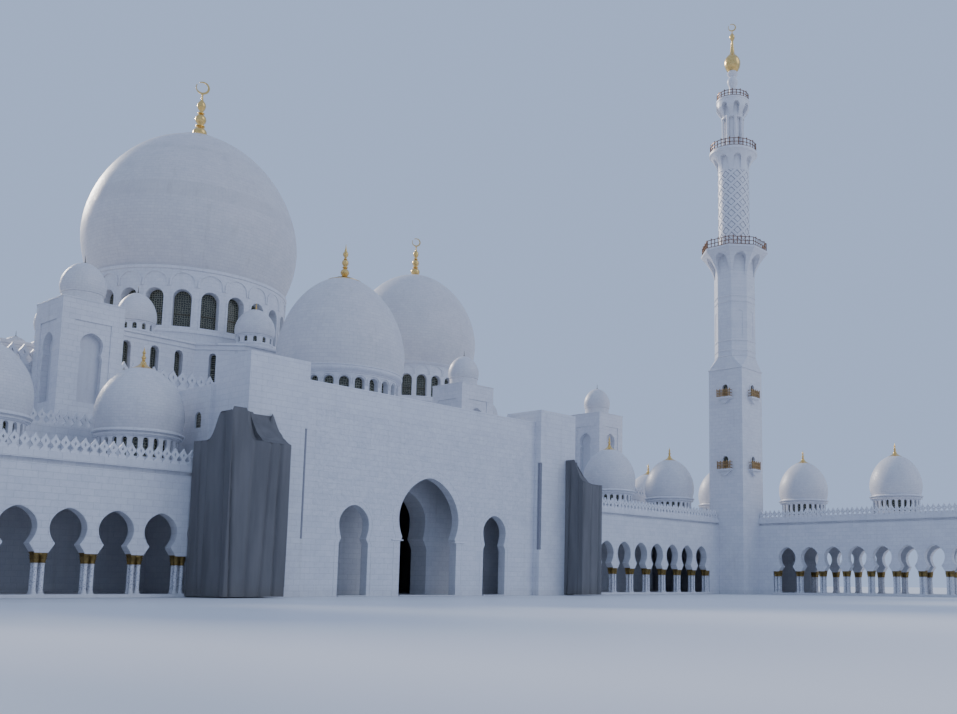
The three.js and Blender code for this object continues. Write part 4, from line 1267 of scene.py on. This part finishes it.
def railing(radius, level, height, posts, sides):
    pile = blank()
    phase = math.pi / sides
    near, far = radius - 0.05, radius + 0.05
    for z in (level + 0.12, level + height * 0.52, level + height):
        low, high = z - 0.05, z + 0.05
        bar = [(near, low), (far, low), (far, high), (near, high), (near, low)]
        stamp(pile, turned(bar, sides, phase=phase))
    post = blockRound(0, 0, 0.06, 0.06, 0, height + 0.05)
    for i in range(posts):
        angle = 2 * math.pi * i / posts
        across = radius
        if sides < 12:
            across *= math.cos(phase) / math.cos((angle - phase) % (2 * phase) - phase)
        spot = at(across * math.cos(angle), across * math.sin(angle), level)
        stamp(pile, post, spot)
        if i % 2 == 0:
            stamp(pile, knobBody, spot @ Matrix.Translation((0, 0, height + 0.04)))
    return kept(pile)


balcony = {
    "end": 1.31, "middle": 0.66, "front": -0.8, "rails": (0.1, 0.62, 1.14), "bars": 17, "barsHalf": 1.2,
}


def balconyShapes():
    # Slab on a tapered bracket, a railing and an arched door behind it
    slab, rail, door = blanks(3)
    stamp(slab, block(-1.45, 1.45, -0.84, 0.1, -0.3, 0, 0.04))
    stamp(slab, block(-1.3, 1.3, -0.72, 0.1, -0.42, -0.28, 0.03))
    bracket = [(-1.05, -0.4), (1.05, -0.4), (0.72, -0.72), (0.36, -0.98), (0, -1.2), (-0.36, -0.98),
               (-0.72, -0.72)]
    stamp(slab, kept(plate(bracket[::-1], (), 0.55, -0.5)))
    end, middle, front, bars, barsHalf = pick(balcony, "end middle front bars barsHalf")
    for level in balcony["rails"]:
        stamp(rail, block(-1.35, 1.35, front, front + 0.09, level, level + 0.09))
        for x in (-end, end):
            stamp(rail, block(x - 0.045, x + 0.045, -0.72, 0.05, level, level + 0.09))
    for x in (-end, -middle, 0, middle, end):
        stamp(rail, block(x - 0.055, x + 0.055, -0.81, -0.7, 0, 1.22))
        stamp(rail, knobBody, at(x, -0.755, 1.2))
    for i in range(bars):
        x = -barsHalf + 2 * barsHalf * i / (bars - 1)
        stamp(rail, blockRound(x, front + 0.04, 0.03, 0.025, 0.12, 1.18))
    half, top = shaft["door"]
    stamp(door, kept(plate(roundTop(0, half, 0, top), (), 0.05, 0.38)))
    surround = plate(roundTop(0, 0.8, -0.05, 2.56, 7), [roundTop(0, half, 0.0, top + 0.01, 7)], 0.14, -0.1)
    stamp(slab, kept(surround))
    return kept(slab), kept(rail), kept(door)


def makeTowerShaft():
    walls, gold, doors = piles = blanks(3)
    half, top = tower["half"], shaft["blockTop"]
    doorHalf, doorTop = shaft["door"]
    openings = [roundTop(0, doorHalf, level, level + doorTop) for level in shaft["balconies"]]
    face = kept(mitred(plate(rectangle(half, 0, top), openings, 0.5), half))
    shapes = balconyShapes()
    for i in range(4):
        side = at(turn=90 * i) @ Matrix.Translation((0, -half, 0))
        stamp(walls, face, side)
        for level in shaft["balconies"]:
            stampAll(piles, shapes, side @ Matrix.Translation((0, 0, level)))
    stamp(walls, blockRound(0, 0, half - 0.45, half - 0.45, 0, top))
    stamp(walls, blockRound(0, 0, half + 0.14, half + 0.14, top, top + 0.24, 0.05))
    # Square block to octagon
    broach, reach = blank(), shaft["octagon"]
    for x in (-half, half):
        for y in (-half, half):
            broach.verts.new((x, y, top + 0.2))
    for i in range(8):
        angle = math.radians(45 * i + 22.5)
        broach.verts.new((reach * math.cos(angle), reach * math.sin(angle), shaft["octagonFoot"]))
    bmesh.ops.convex_hull(broach, input=broach.verts[:])
    layFlat(broach)
    stamp(walls, kept(broach))
    return walls, gold, doors


def makeTowerOctagon(walls):
    radius, foot, head = shaft["octagon"], shaft["octagonFoot"] - 0.05, flareRows[0][0]
    phase = math.pi / 8
    apothem, width, depth = radius * math.cos(phase), radius * math.sin(phase), 0.07
    panel = plate(rectangle(width, foot, head), [roundTop(0, 0.62, *shaft["panel"])], depth)
    panel = kept(mitred(panel, width, math.tan(phase)))
    stampRound(walls, panel, 8, Matrix.Translation((0, -apothem, 0)))
    core = (apothem - depth + 0.005) / math.cos(phase)
    stamp(walls, rod(core, foot - 0.1, shaft["deck"][0] + 0.1, 8, phase=phase))
    for z in shaft["rings"]:
        stamp(walls, turned([(core, z - 0.1), (radius + 0.05, z - 0.08), (radius + 0.11, z),
                             (radius + 0.05, z + 0.08), (core, z + 0.1), (core, z - 0.1)], 8, phase=phase))


def rowReach(rows, z):
    for (z0, r0), (z1, r1) in zip(rows, rows[1:]):
        if z <= z1:
            return r0 + (r1 - r0) * max(0, z - z0) / (z1 - z0)
    return rows[-1][1]


def flaredArches(rows, arch, back, flat=False):
    # Eight arched hollows in a flaring ring, open down to the straight core behind them
    half = math.pi / 8
    share = math.sin(half) if flat else half
    wide, low, top = arch
    spring = top - wide
    jamb = [z for z, _ in rows if low < z < spring - 0.1]
    hole = [(wide, z) for z in [low] + jamb + [spring]]
    hole += [(wide * math.cos(math.pi * i / 10), spring + wide * math.sin(math.pi * i / 10))
             for i in range(1, 10)]
    hole += [(-wide, z) for z in [spring] + jamb[::-1] + [low]]
    hole = [(x / (rowReach(rows, z) * share), z) for x, z in hole]
    mesh = plate(mirrored([(1, z) for z, _ in rows]), [hole], 1.0)
    sliced(mesh, [z for z, _ in rows[1:-1]], (0, 0, 1))
    if not flat:
        sliced(mesh, [-0.85, -0.4, 0, 0.4, 0.85], (1, 0, 0))
    for vert in mesh.verts:
        x, inward, z = vert.co
        reach = rowReach(rows, z)
        radius = back if inward > 0.5 else reach
        if flat:
            away = radius * math.cos(half)
            across = math.copysign(away * math.tan(half), x) if abs(x) > 0.999 else x * reach * share
            vert.co = (across, -away, z)
        else:
            angle = x * half * (reach / back if inward > 0.5 and abs(x) < 0.84 else 1)
            vert.co = (radius * math.sin(angle), -radius * math.cos(angle), z)
    pile = blank()
    stampRound(pile, kept(mesh), 8)
    return kept(pile)


def latticeRibs(width, lift):
    # Two crossing sets of spiral straps round the upper shaft
    pile = blank()
    low, high, radius = shaft["deck"][1], corbelRows[0][0], shaft["upper"]
    sunk = radius * 0.995
    pitch = math.radians(45) / shaft["strapRise"]
    for direction in (-1, 1):
        strip = blank()
        bmesh.ops.create_grid(strip, x_segments=1, y_segments=48, size=0.5)
        for vert in strip.verts:
            z = low + (high - low) * (vert.co.y + 0.5)
            angle = math.radians(22.5) + direction * pitch * (z - shaft["crossing"])
            angle += vert.co.x * width * 1.42 / radius
            vert.co = (sunk * math.cos(angle), sunk * math.sin(angle), z)
        for vert in extruded(strip):
            vert.co.xy *= (radius + lift) / sunk
        stampRound(pile, kept(strip), 8)
    return kept(pile)


def makeUpperShaft():
    walls, strapShadeLines, rails, gold = blanks(4)
    deck, radius, gallery = shaft["deck"][1], shaft["upper"], shaft["gallery"]
    stamp(walls, rod(radius, deck, gallery - 0.05, 48))
    stamp(walls, solidTurned([(3.02, deck - 0.02), (3.02, deck + 0.35), (2.86, deck + 0.45),
                              (radius, deck + 0.5)], 48))
    stamp(walls, latticeRibs(0.45, 0.07))
    # Wider, lower straps in dark marble under the raised ones: painted shadow lines along the strap edges.
    stamp(strapShadeLines, latticeRibs(0.7, 0.018))
    stamp(walls, ringMoulding(radius, [(0.02, 77.1), (0.1, 77.16), (0.1, 77.32), (0.02, 77.4)], 48))
    stamp(walls, flaredArches(corbelRows, shaft["corbelArch"], 2.75))
    stamp(walls, solidTurned([(4.27, 80.45), (4.44, 80.56), (4.44, 80.98), (4.34, 81.07)], 48))
    stamp(walls, rod(1.5, gallery, 90.8, 24))
    post = solidTurned([(0.34, gallery), (0.34, 81.3), (0.26, 81.42), (0.24, 87.3), (0.34, 87.6),
                        (0.34, 88.0)], 12)
    reach = shaft["lanternPosts"]
    for i in range(8):
        angle = math.radians(45 * i)
        stamp(walls, post, at(reach * math.cos(angle), reach * math.sin(angle)))
    stamp(walls, solidTurned([(2.12, 87.72), (2.12, 87.92), (2.02, 87.98)], 40))
    stamp(walls, flaredArches(bellRows, shaft["bellArch"], 1.98))
    stamp(walls, rod(1.97, 87.95, 90.95, 40))
    stamp(walls, solidTurned([(3.04, 90.9), (3.12, 91.0), (3.12, 91.25), (3.02, 91.35)], 48))
    stamp(walls, solidTurned([
        (1.05, 91.3), (0.98, 91.7), (0.78, 92.5), (0.67, 93.6), (0.65, 94.2), (0.76, 94.5), (0.95, 94.95),
        (1.02, 95.4), (0.92, 95.8), (0.66, 96.15), (0.62, 96.3), (0.74, 96.45), (0.98, 96.75), (1.02, 96.95),
        (0.9, 97.2), (0.8, 97.42)], 32))
    stamp(rails, railing(5.9, deck, 1.45, 48, 8))
    stamp(rails, railing(4.2, gallery, 1.4, 32, 40))
    stamp(rails, railing(2.9, shaft["lanternTop"], 1.15, 24, 40))
    stamp(gold, solidTurned([
        (0.84, 97.38), (1.12, 97.75), (1.38, 98.3), (1.49, 98.9), (1.47, 99.45), (1.28, 100.0),
        (0.95, 100.45), (0.62, 100.8), (0.45, 101.1), (0.37, 101.7), (0.27, 102.6), (0.18, 103.55),
        (0.3, 103.8), (0.47, 104.2), (0.5, 104.5), (0.4, 104.8), (0.2, 105.05), (0.1, 105.25),
        (0.08, 105.65)], 28))
    stamp(gold, crescent(0.75, 0.1), at(z=shaft["moonLevel"], turn=-59))
    return walls, strapShadeLines, rails, gold


def makeTowers():
    walls, balconyRails, doors = makeTowerShaft()
    makeTowerOctagon(walls)
    stamp(walls, flaredArches(flareRows, shaft["flareArch"], 3.68, True))
    low, high = shaft["deck"]
    edge = shaft["deckRadius"]
    stamp(walls, solidTurned([(edge - 0.05, low - 0.02), (edge + 0.06, low + 0.1), (edge + 0.06, high - 0.1),
                              (edge - 0.04, high)], 8, phase=math.pi / 8))
    upper, strapShadeLines, rails, gold = makeUpperShaft()
    for title, pile, look, node in (
            ("Shaft", walls, wallMarble, "minaret_shaft"), ("Balconies", balconyRails, balconyGold, None),
            ("Doors", doors, wallLattice, None), ("UpperShaft", upper, plainMarble, "minaret_upper_shaft"),
            ("StrapShadeLines", strapShadeLines, paintedShadeMarble, None), ("Railings", rails, railGold, None),
            ("Finial", gold, goldLeaf, "minaret_finial")):
        placePair(f"Tower{title}", moved(pile, at(tower["x"], tower["y"])), look, node)


makeTowers()
print("corner towers made")


# Scaffold covers

# Pole tips and ties: start, end, lift and reach of each
coverShapes = {
    "right": {"sign": 1, "inner": 23.65, "outer": 27.85, "end": 27.7, "front": -4.35, "seed": 7,
              "poles": [(23.65, -2.7, 23.65, -1.2, 3.35, 0.85), (25.6, -1.5, 25.5, -1.2, 3.3, 0.45)]},
    "left": {"sign": -1, "inner": 22.75, "outer": 29.4, "end": 29.8, "front": -4.6, "seed": 12,
             "poles": [(29.4, -4.6, 27.95, -4.6, 3.1, 0.34), (29.4, -4.4, 29.4, -2.5, 2.8, 0.8),
                       (23.2, -1.6, 22.9, -1.2, 3.5, 0.5), (27.5, -2.1, 25.3, -1.3, 3.4, 0.8)]},
}
# Each cloth ends at a Y before the pylon and at a gap before the wing's front. The last line is for
# the cut sizes of the model's cloth.
cover = {
    "ring": 15.35, "foot": 0.12, "slope": 3.3, "wingSlope": 0.1, "sag": 0.55, "sheetEnds": (-1.12, 0.25),
    "topEnds": (-1.14, 0.26), "folds": 9, "sheetGrid": (180, 60), "topGrid": (110, 80), "thick": 0.03,
    "weaveHigh": 18, "weaveTop": 5, "spare": 1.06,
    "high": 1.62, "topWide": 0.8, "topLeast": 0.5, "topShare": 0.78,
}


def coverBack(x, ends):
    return ends[0] if x < portal["pylonOuter"] else arcade["front"] - ends[1]


def held(share):
    return min(1.0, max(0.0, share))


def coverTop(shape, x, y):
    # Height of the slack cloth: a slope up to the pylon, with points where poles and ties lift it
    beyond = held((x - portal["pylonOuter"]) / 0.5)
    share = held((y - shape["front"]) / (coverBack(x, cover["sheetEnds"]) - shape["front"]))
    slope = (cover["slope"] * (1 - beyond) + cover["wingSlope"] * beyond) * share
    slope -= cover["sag"] * math.sin(math.pi * share) * (1 - beyond)
    lift = 0
    for x0, y0, x1, y1, height, reach in shape["poles"]:
        start, run = Vector((x0, y0)), Vector((x1 - x0, y1 - y0))
        away = Vector((x, y)) - start
        away -= run * held(away.dot(run) / run.length_squared)
        lift = max(lift, height * math.exp(-(away.length / reach) ** 1.4))
    return cover["ring"] + max(slope, lift)


def sheetGrid(size, wide, high):
    # A flat sheet one unit across, with its cut size as its own UV map
    mesh = blank()
    bmesh.ops.create_grid(mesh, x_segments=size[0], y_segments=size[1], size=0.5)
    layer = mesh.loops.layers.uv["uv"]
    for face in mesh.faces:
        for loop in face.loops:
            loop[layer].uv = ((loop.vert.co.x + 0.5) * wide, (loop.vert.co.y + 0.5) * high)
    return mesh


def thicken(mesh, depth):
    # A second layer behind the sheet and a rim round it, so that it closes
    mesh.normal_update()
    layer = mesh.loops.layers.uv["uv"]
    faces, border = mesh.faces[:], [edge for edge in mesh.edges if edge.is_boundary]
    behind = {vert: mesh.verts.new(vert.co - vert.normal * depth) for vert in mesh.verts[:]}
    for face in faces:
        spots = {behind[loop.vert]: loop[layer].uv.copy() for loop in face.loops}
        for loop in mesh.faces.new([behind[vert] for vert in reversed(face.verts)]).loops:
            loop[layer].uv = spots[loop.vert]
    for edge in border:
        loop = edge.link_loops[0]
        start, end = loop.vert, loop.link_loop_next.vert
        mesh.faces.new((end, start, behind[start], behind[end]))
    bmesh.ops.recalc_face_normals(mesh, faces=mesh.faces)


def coverSheet(shape):
    # The cloth round the scaffold, from the pylon to the wing
    inner, outer, front = shape["inner"], shape["outer"], shape["front"]
    pylonFace, wingGap = cover["sheetEnds"]
    path = [(inner, pylonFace), (inner, front), (outer, front), (shape["end"], arcade["front"] - wingGap)]
    lengths = [0]
    for start, end in zip(path, path[1:]):
        lengths.append(lengths[-1] + math.dist(start, end))
    total = lengths[-1]
    mesh = sheetGrid(cover["sheetGrid"], total, cover["weaveHigh"])
    chance = random.Random(shape["seed"])
    folds = [(total * (i + chance.uniform(0.2, 0.8)) / cover["folds"], chance.uniform(0.1, 0.2),
              chance.uniform(0.14, 0.3), chance.uniform(-0.7, 0.7)) for i in range(cover["folds"])]
    for vert in mesh.verts:
        along, up = (vert.co.x + 0.5) * total, vert.co.y + 0.5
        index = max(i for i in range(3) if along >= lengths[i] - 1e-6)
        start, end = Vector(path[index]), Vector(path[index + 1])
        spot = start.lerp(end, (along - lengths[index]) / (lengths[index + 1] - lengths[index]))
        run = (end - start).normalized()
        z = cover["foot"] + (coverTop(shape, *spot) - cover["foot"]) * up
        valley = 0.06 + 0.06 * math.sin(along * 2.3 + 1.5 * math.sin(up * 3))
        for centre, width, depth, drift in folds:
            valley += depth * math.exp(-((along - centre - drift * (0.5 - up)) / width) ** 2)
        valley *= 1 - 0.8 * abs(z - cover["ring"]) / 3 if z > cover["ring"] else 1 - 0.5 * up ** 8
        ease = min(1.0, 3 * along + 0.1, 3 * (total - along) + 0.1)
        corner = min(abs(along - lengths[1]), abs(along - lengths[2]))
        spot += Vector((-run.y, run.x)) * valley * ease * min(1.0, 0.4 + 2 * corner)
        vert.co = (shape["sign"] * spot.x, spot.y, z)
    return mesh, total


def coverRoof(shape):
    # The slack top of the cover, from its upper edge back to the pylon and the wing
    mesh = sheetGrid(cover["topGrid"], cover["weaveTop"], cover["weaveTop"])
    inset = 0.06
    front = shape["front"] + inset
    for vert in mesh.verts:
        u, v = vert.co.x + 0.5, vert.co.y + 0.5
        across = shape["outer"] + (shape["end"] - shape["outer"]) * v - shape["inner"] - 2 * inset
        x = shape["inner"] + inset + across * u
        y = front + (coverBack(x, cover["topEnds"]) - front) * v
        crease = 0.10 * math.sin(11 * u + 5 * v) + 0.07 * math.sin(17 * v - 9 * u)
        ease = math.sin(math.pi * v) * math.sin(math.pi * u)
        vert.co = (shape["sign"] * x, y, coverTop(shape, x, y) - cover["thick"] + crease * ease)
    return mesh


def makeCovers():
    for side, shape in coverShapes.items():
        mesh, total = coverSheet(shape)
        roof = coverRoof(shape)
        area = sum(face.calc_area() for face in roof.faces) * toModel ** 2
        for sheet in (mesh, roof):
            thicken(sheet, cover["thick"])
        piece = placePiece(f"{side}CoverSheet", mesh, coverCloth, [f"{side}_scaffold_cover"], 70)
        cut = (total * toModel * cover["spare"], cover["high"])
        top = placePiece(f"{side}CoverTop", roof, coverCloth, (), 70)
        cut = (cover["topWide"], max(cover["topLeast"], area / cover["topShare"]))


makeCovers()
print("covers made")


# CAD nodes that keep their shape

def dressNodes():
    looks = {"marble": wallMarble, "dome_marble": domeMosaic, "gold": goldLeaf, "window_lattice": wallLattice,
             "cover_cloth": coverCloth}
    slots = {part["node"]: part["material_slot"] for part in frame["record"]["subparts"]}
    for name, node in frame["nodes"].items():
        if not node.hide_render:
            node.data.materials.clear()
            node.data.materials.append(looks[slots[name]].material)


dressNodes()
print("frame dressed")


# Floor, light and background

studio = {
    "floor": (0.72, 0.725, 0.75, 1), "floorSize": 160, "sky": (0.44, 0.57, 0.86, 1), "skyStrength": 0.95,
    "lamps": {
        "key": (2.8, 8, (0.05, 0.95, 0.45), (1.0, 0.92, 0.82)),
        "fill": (0.4, 40, (0.45, -0.85, 0.6), (0.95, 0.96, 1.0)),
    },
}


def makeStudio():
    look = Look("studioFloor", "marble")
    place = look.realPlace()
    tone = look.between(look.noise(place, 0.05, 2.0), 0.3, 0.7)
    colour = look.mix(0.25 * tone, studio["floor"], (0.66, 0.67, 0.70, 1))
    look.finish(Base_Color=colour, Roughness=0.5)
    mesh = bmesh.new()
    bmesh.ops.create_grid(mesh, x_segments=8, y_segments=8, size=studio["floorSize"] / 2)
    data = bpy.data.meshes.new("studioFloor")
    mesh.to_mesh(data)
    mesh.free()
    data.materials.append(look.material)
    linked("studioFloor", data)

    for name, (energy, angle, origin, tint) in studio["lamps"].items():
        sun = bpy.data.lights.new(name, "SUN")
        sun.energy = energy
        sun.angle = math.radians(angle)
        sun.color = tint
        lamp = linked(name, sun)
        lamp.matrix_world = Vector(origin).to_track_quat("Z", "Y").to_matrix().to_4x4()

    world = bpy.data.worlds.new("studio")
    world.use_nodes = True
    world.node_tree.nodes["Background"].inputs[0].default_value = studio["sky"]
    world.node_tree.nodes["Background"].inputs[1].default_value = studio["skyStrength"]
    bpy.context.scene.world = world


makeStudio()
print("studio made")
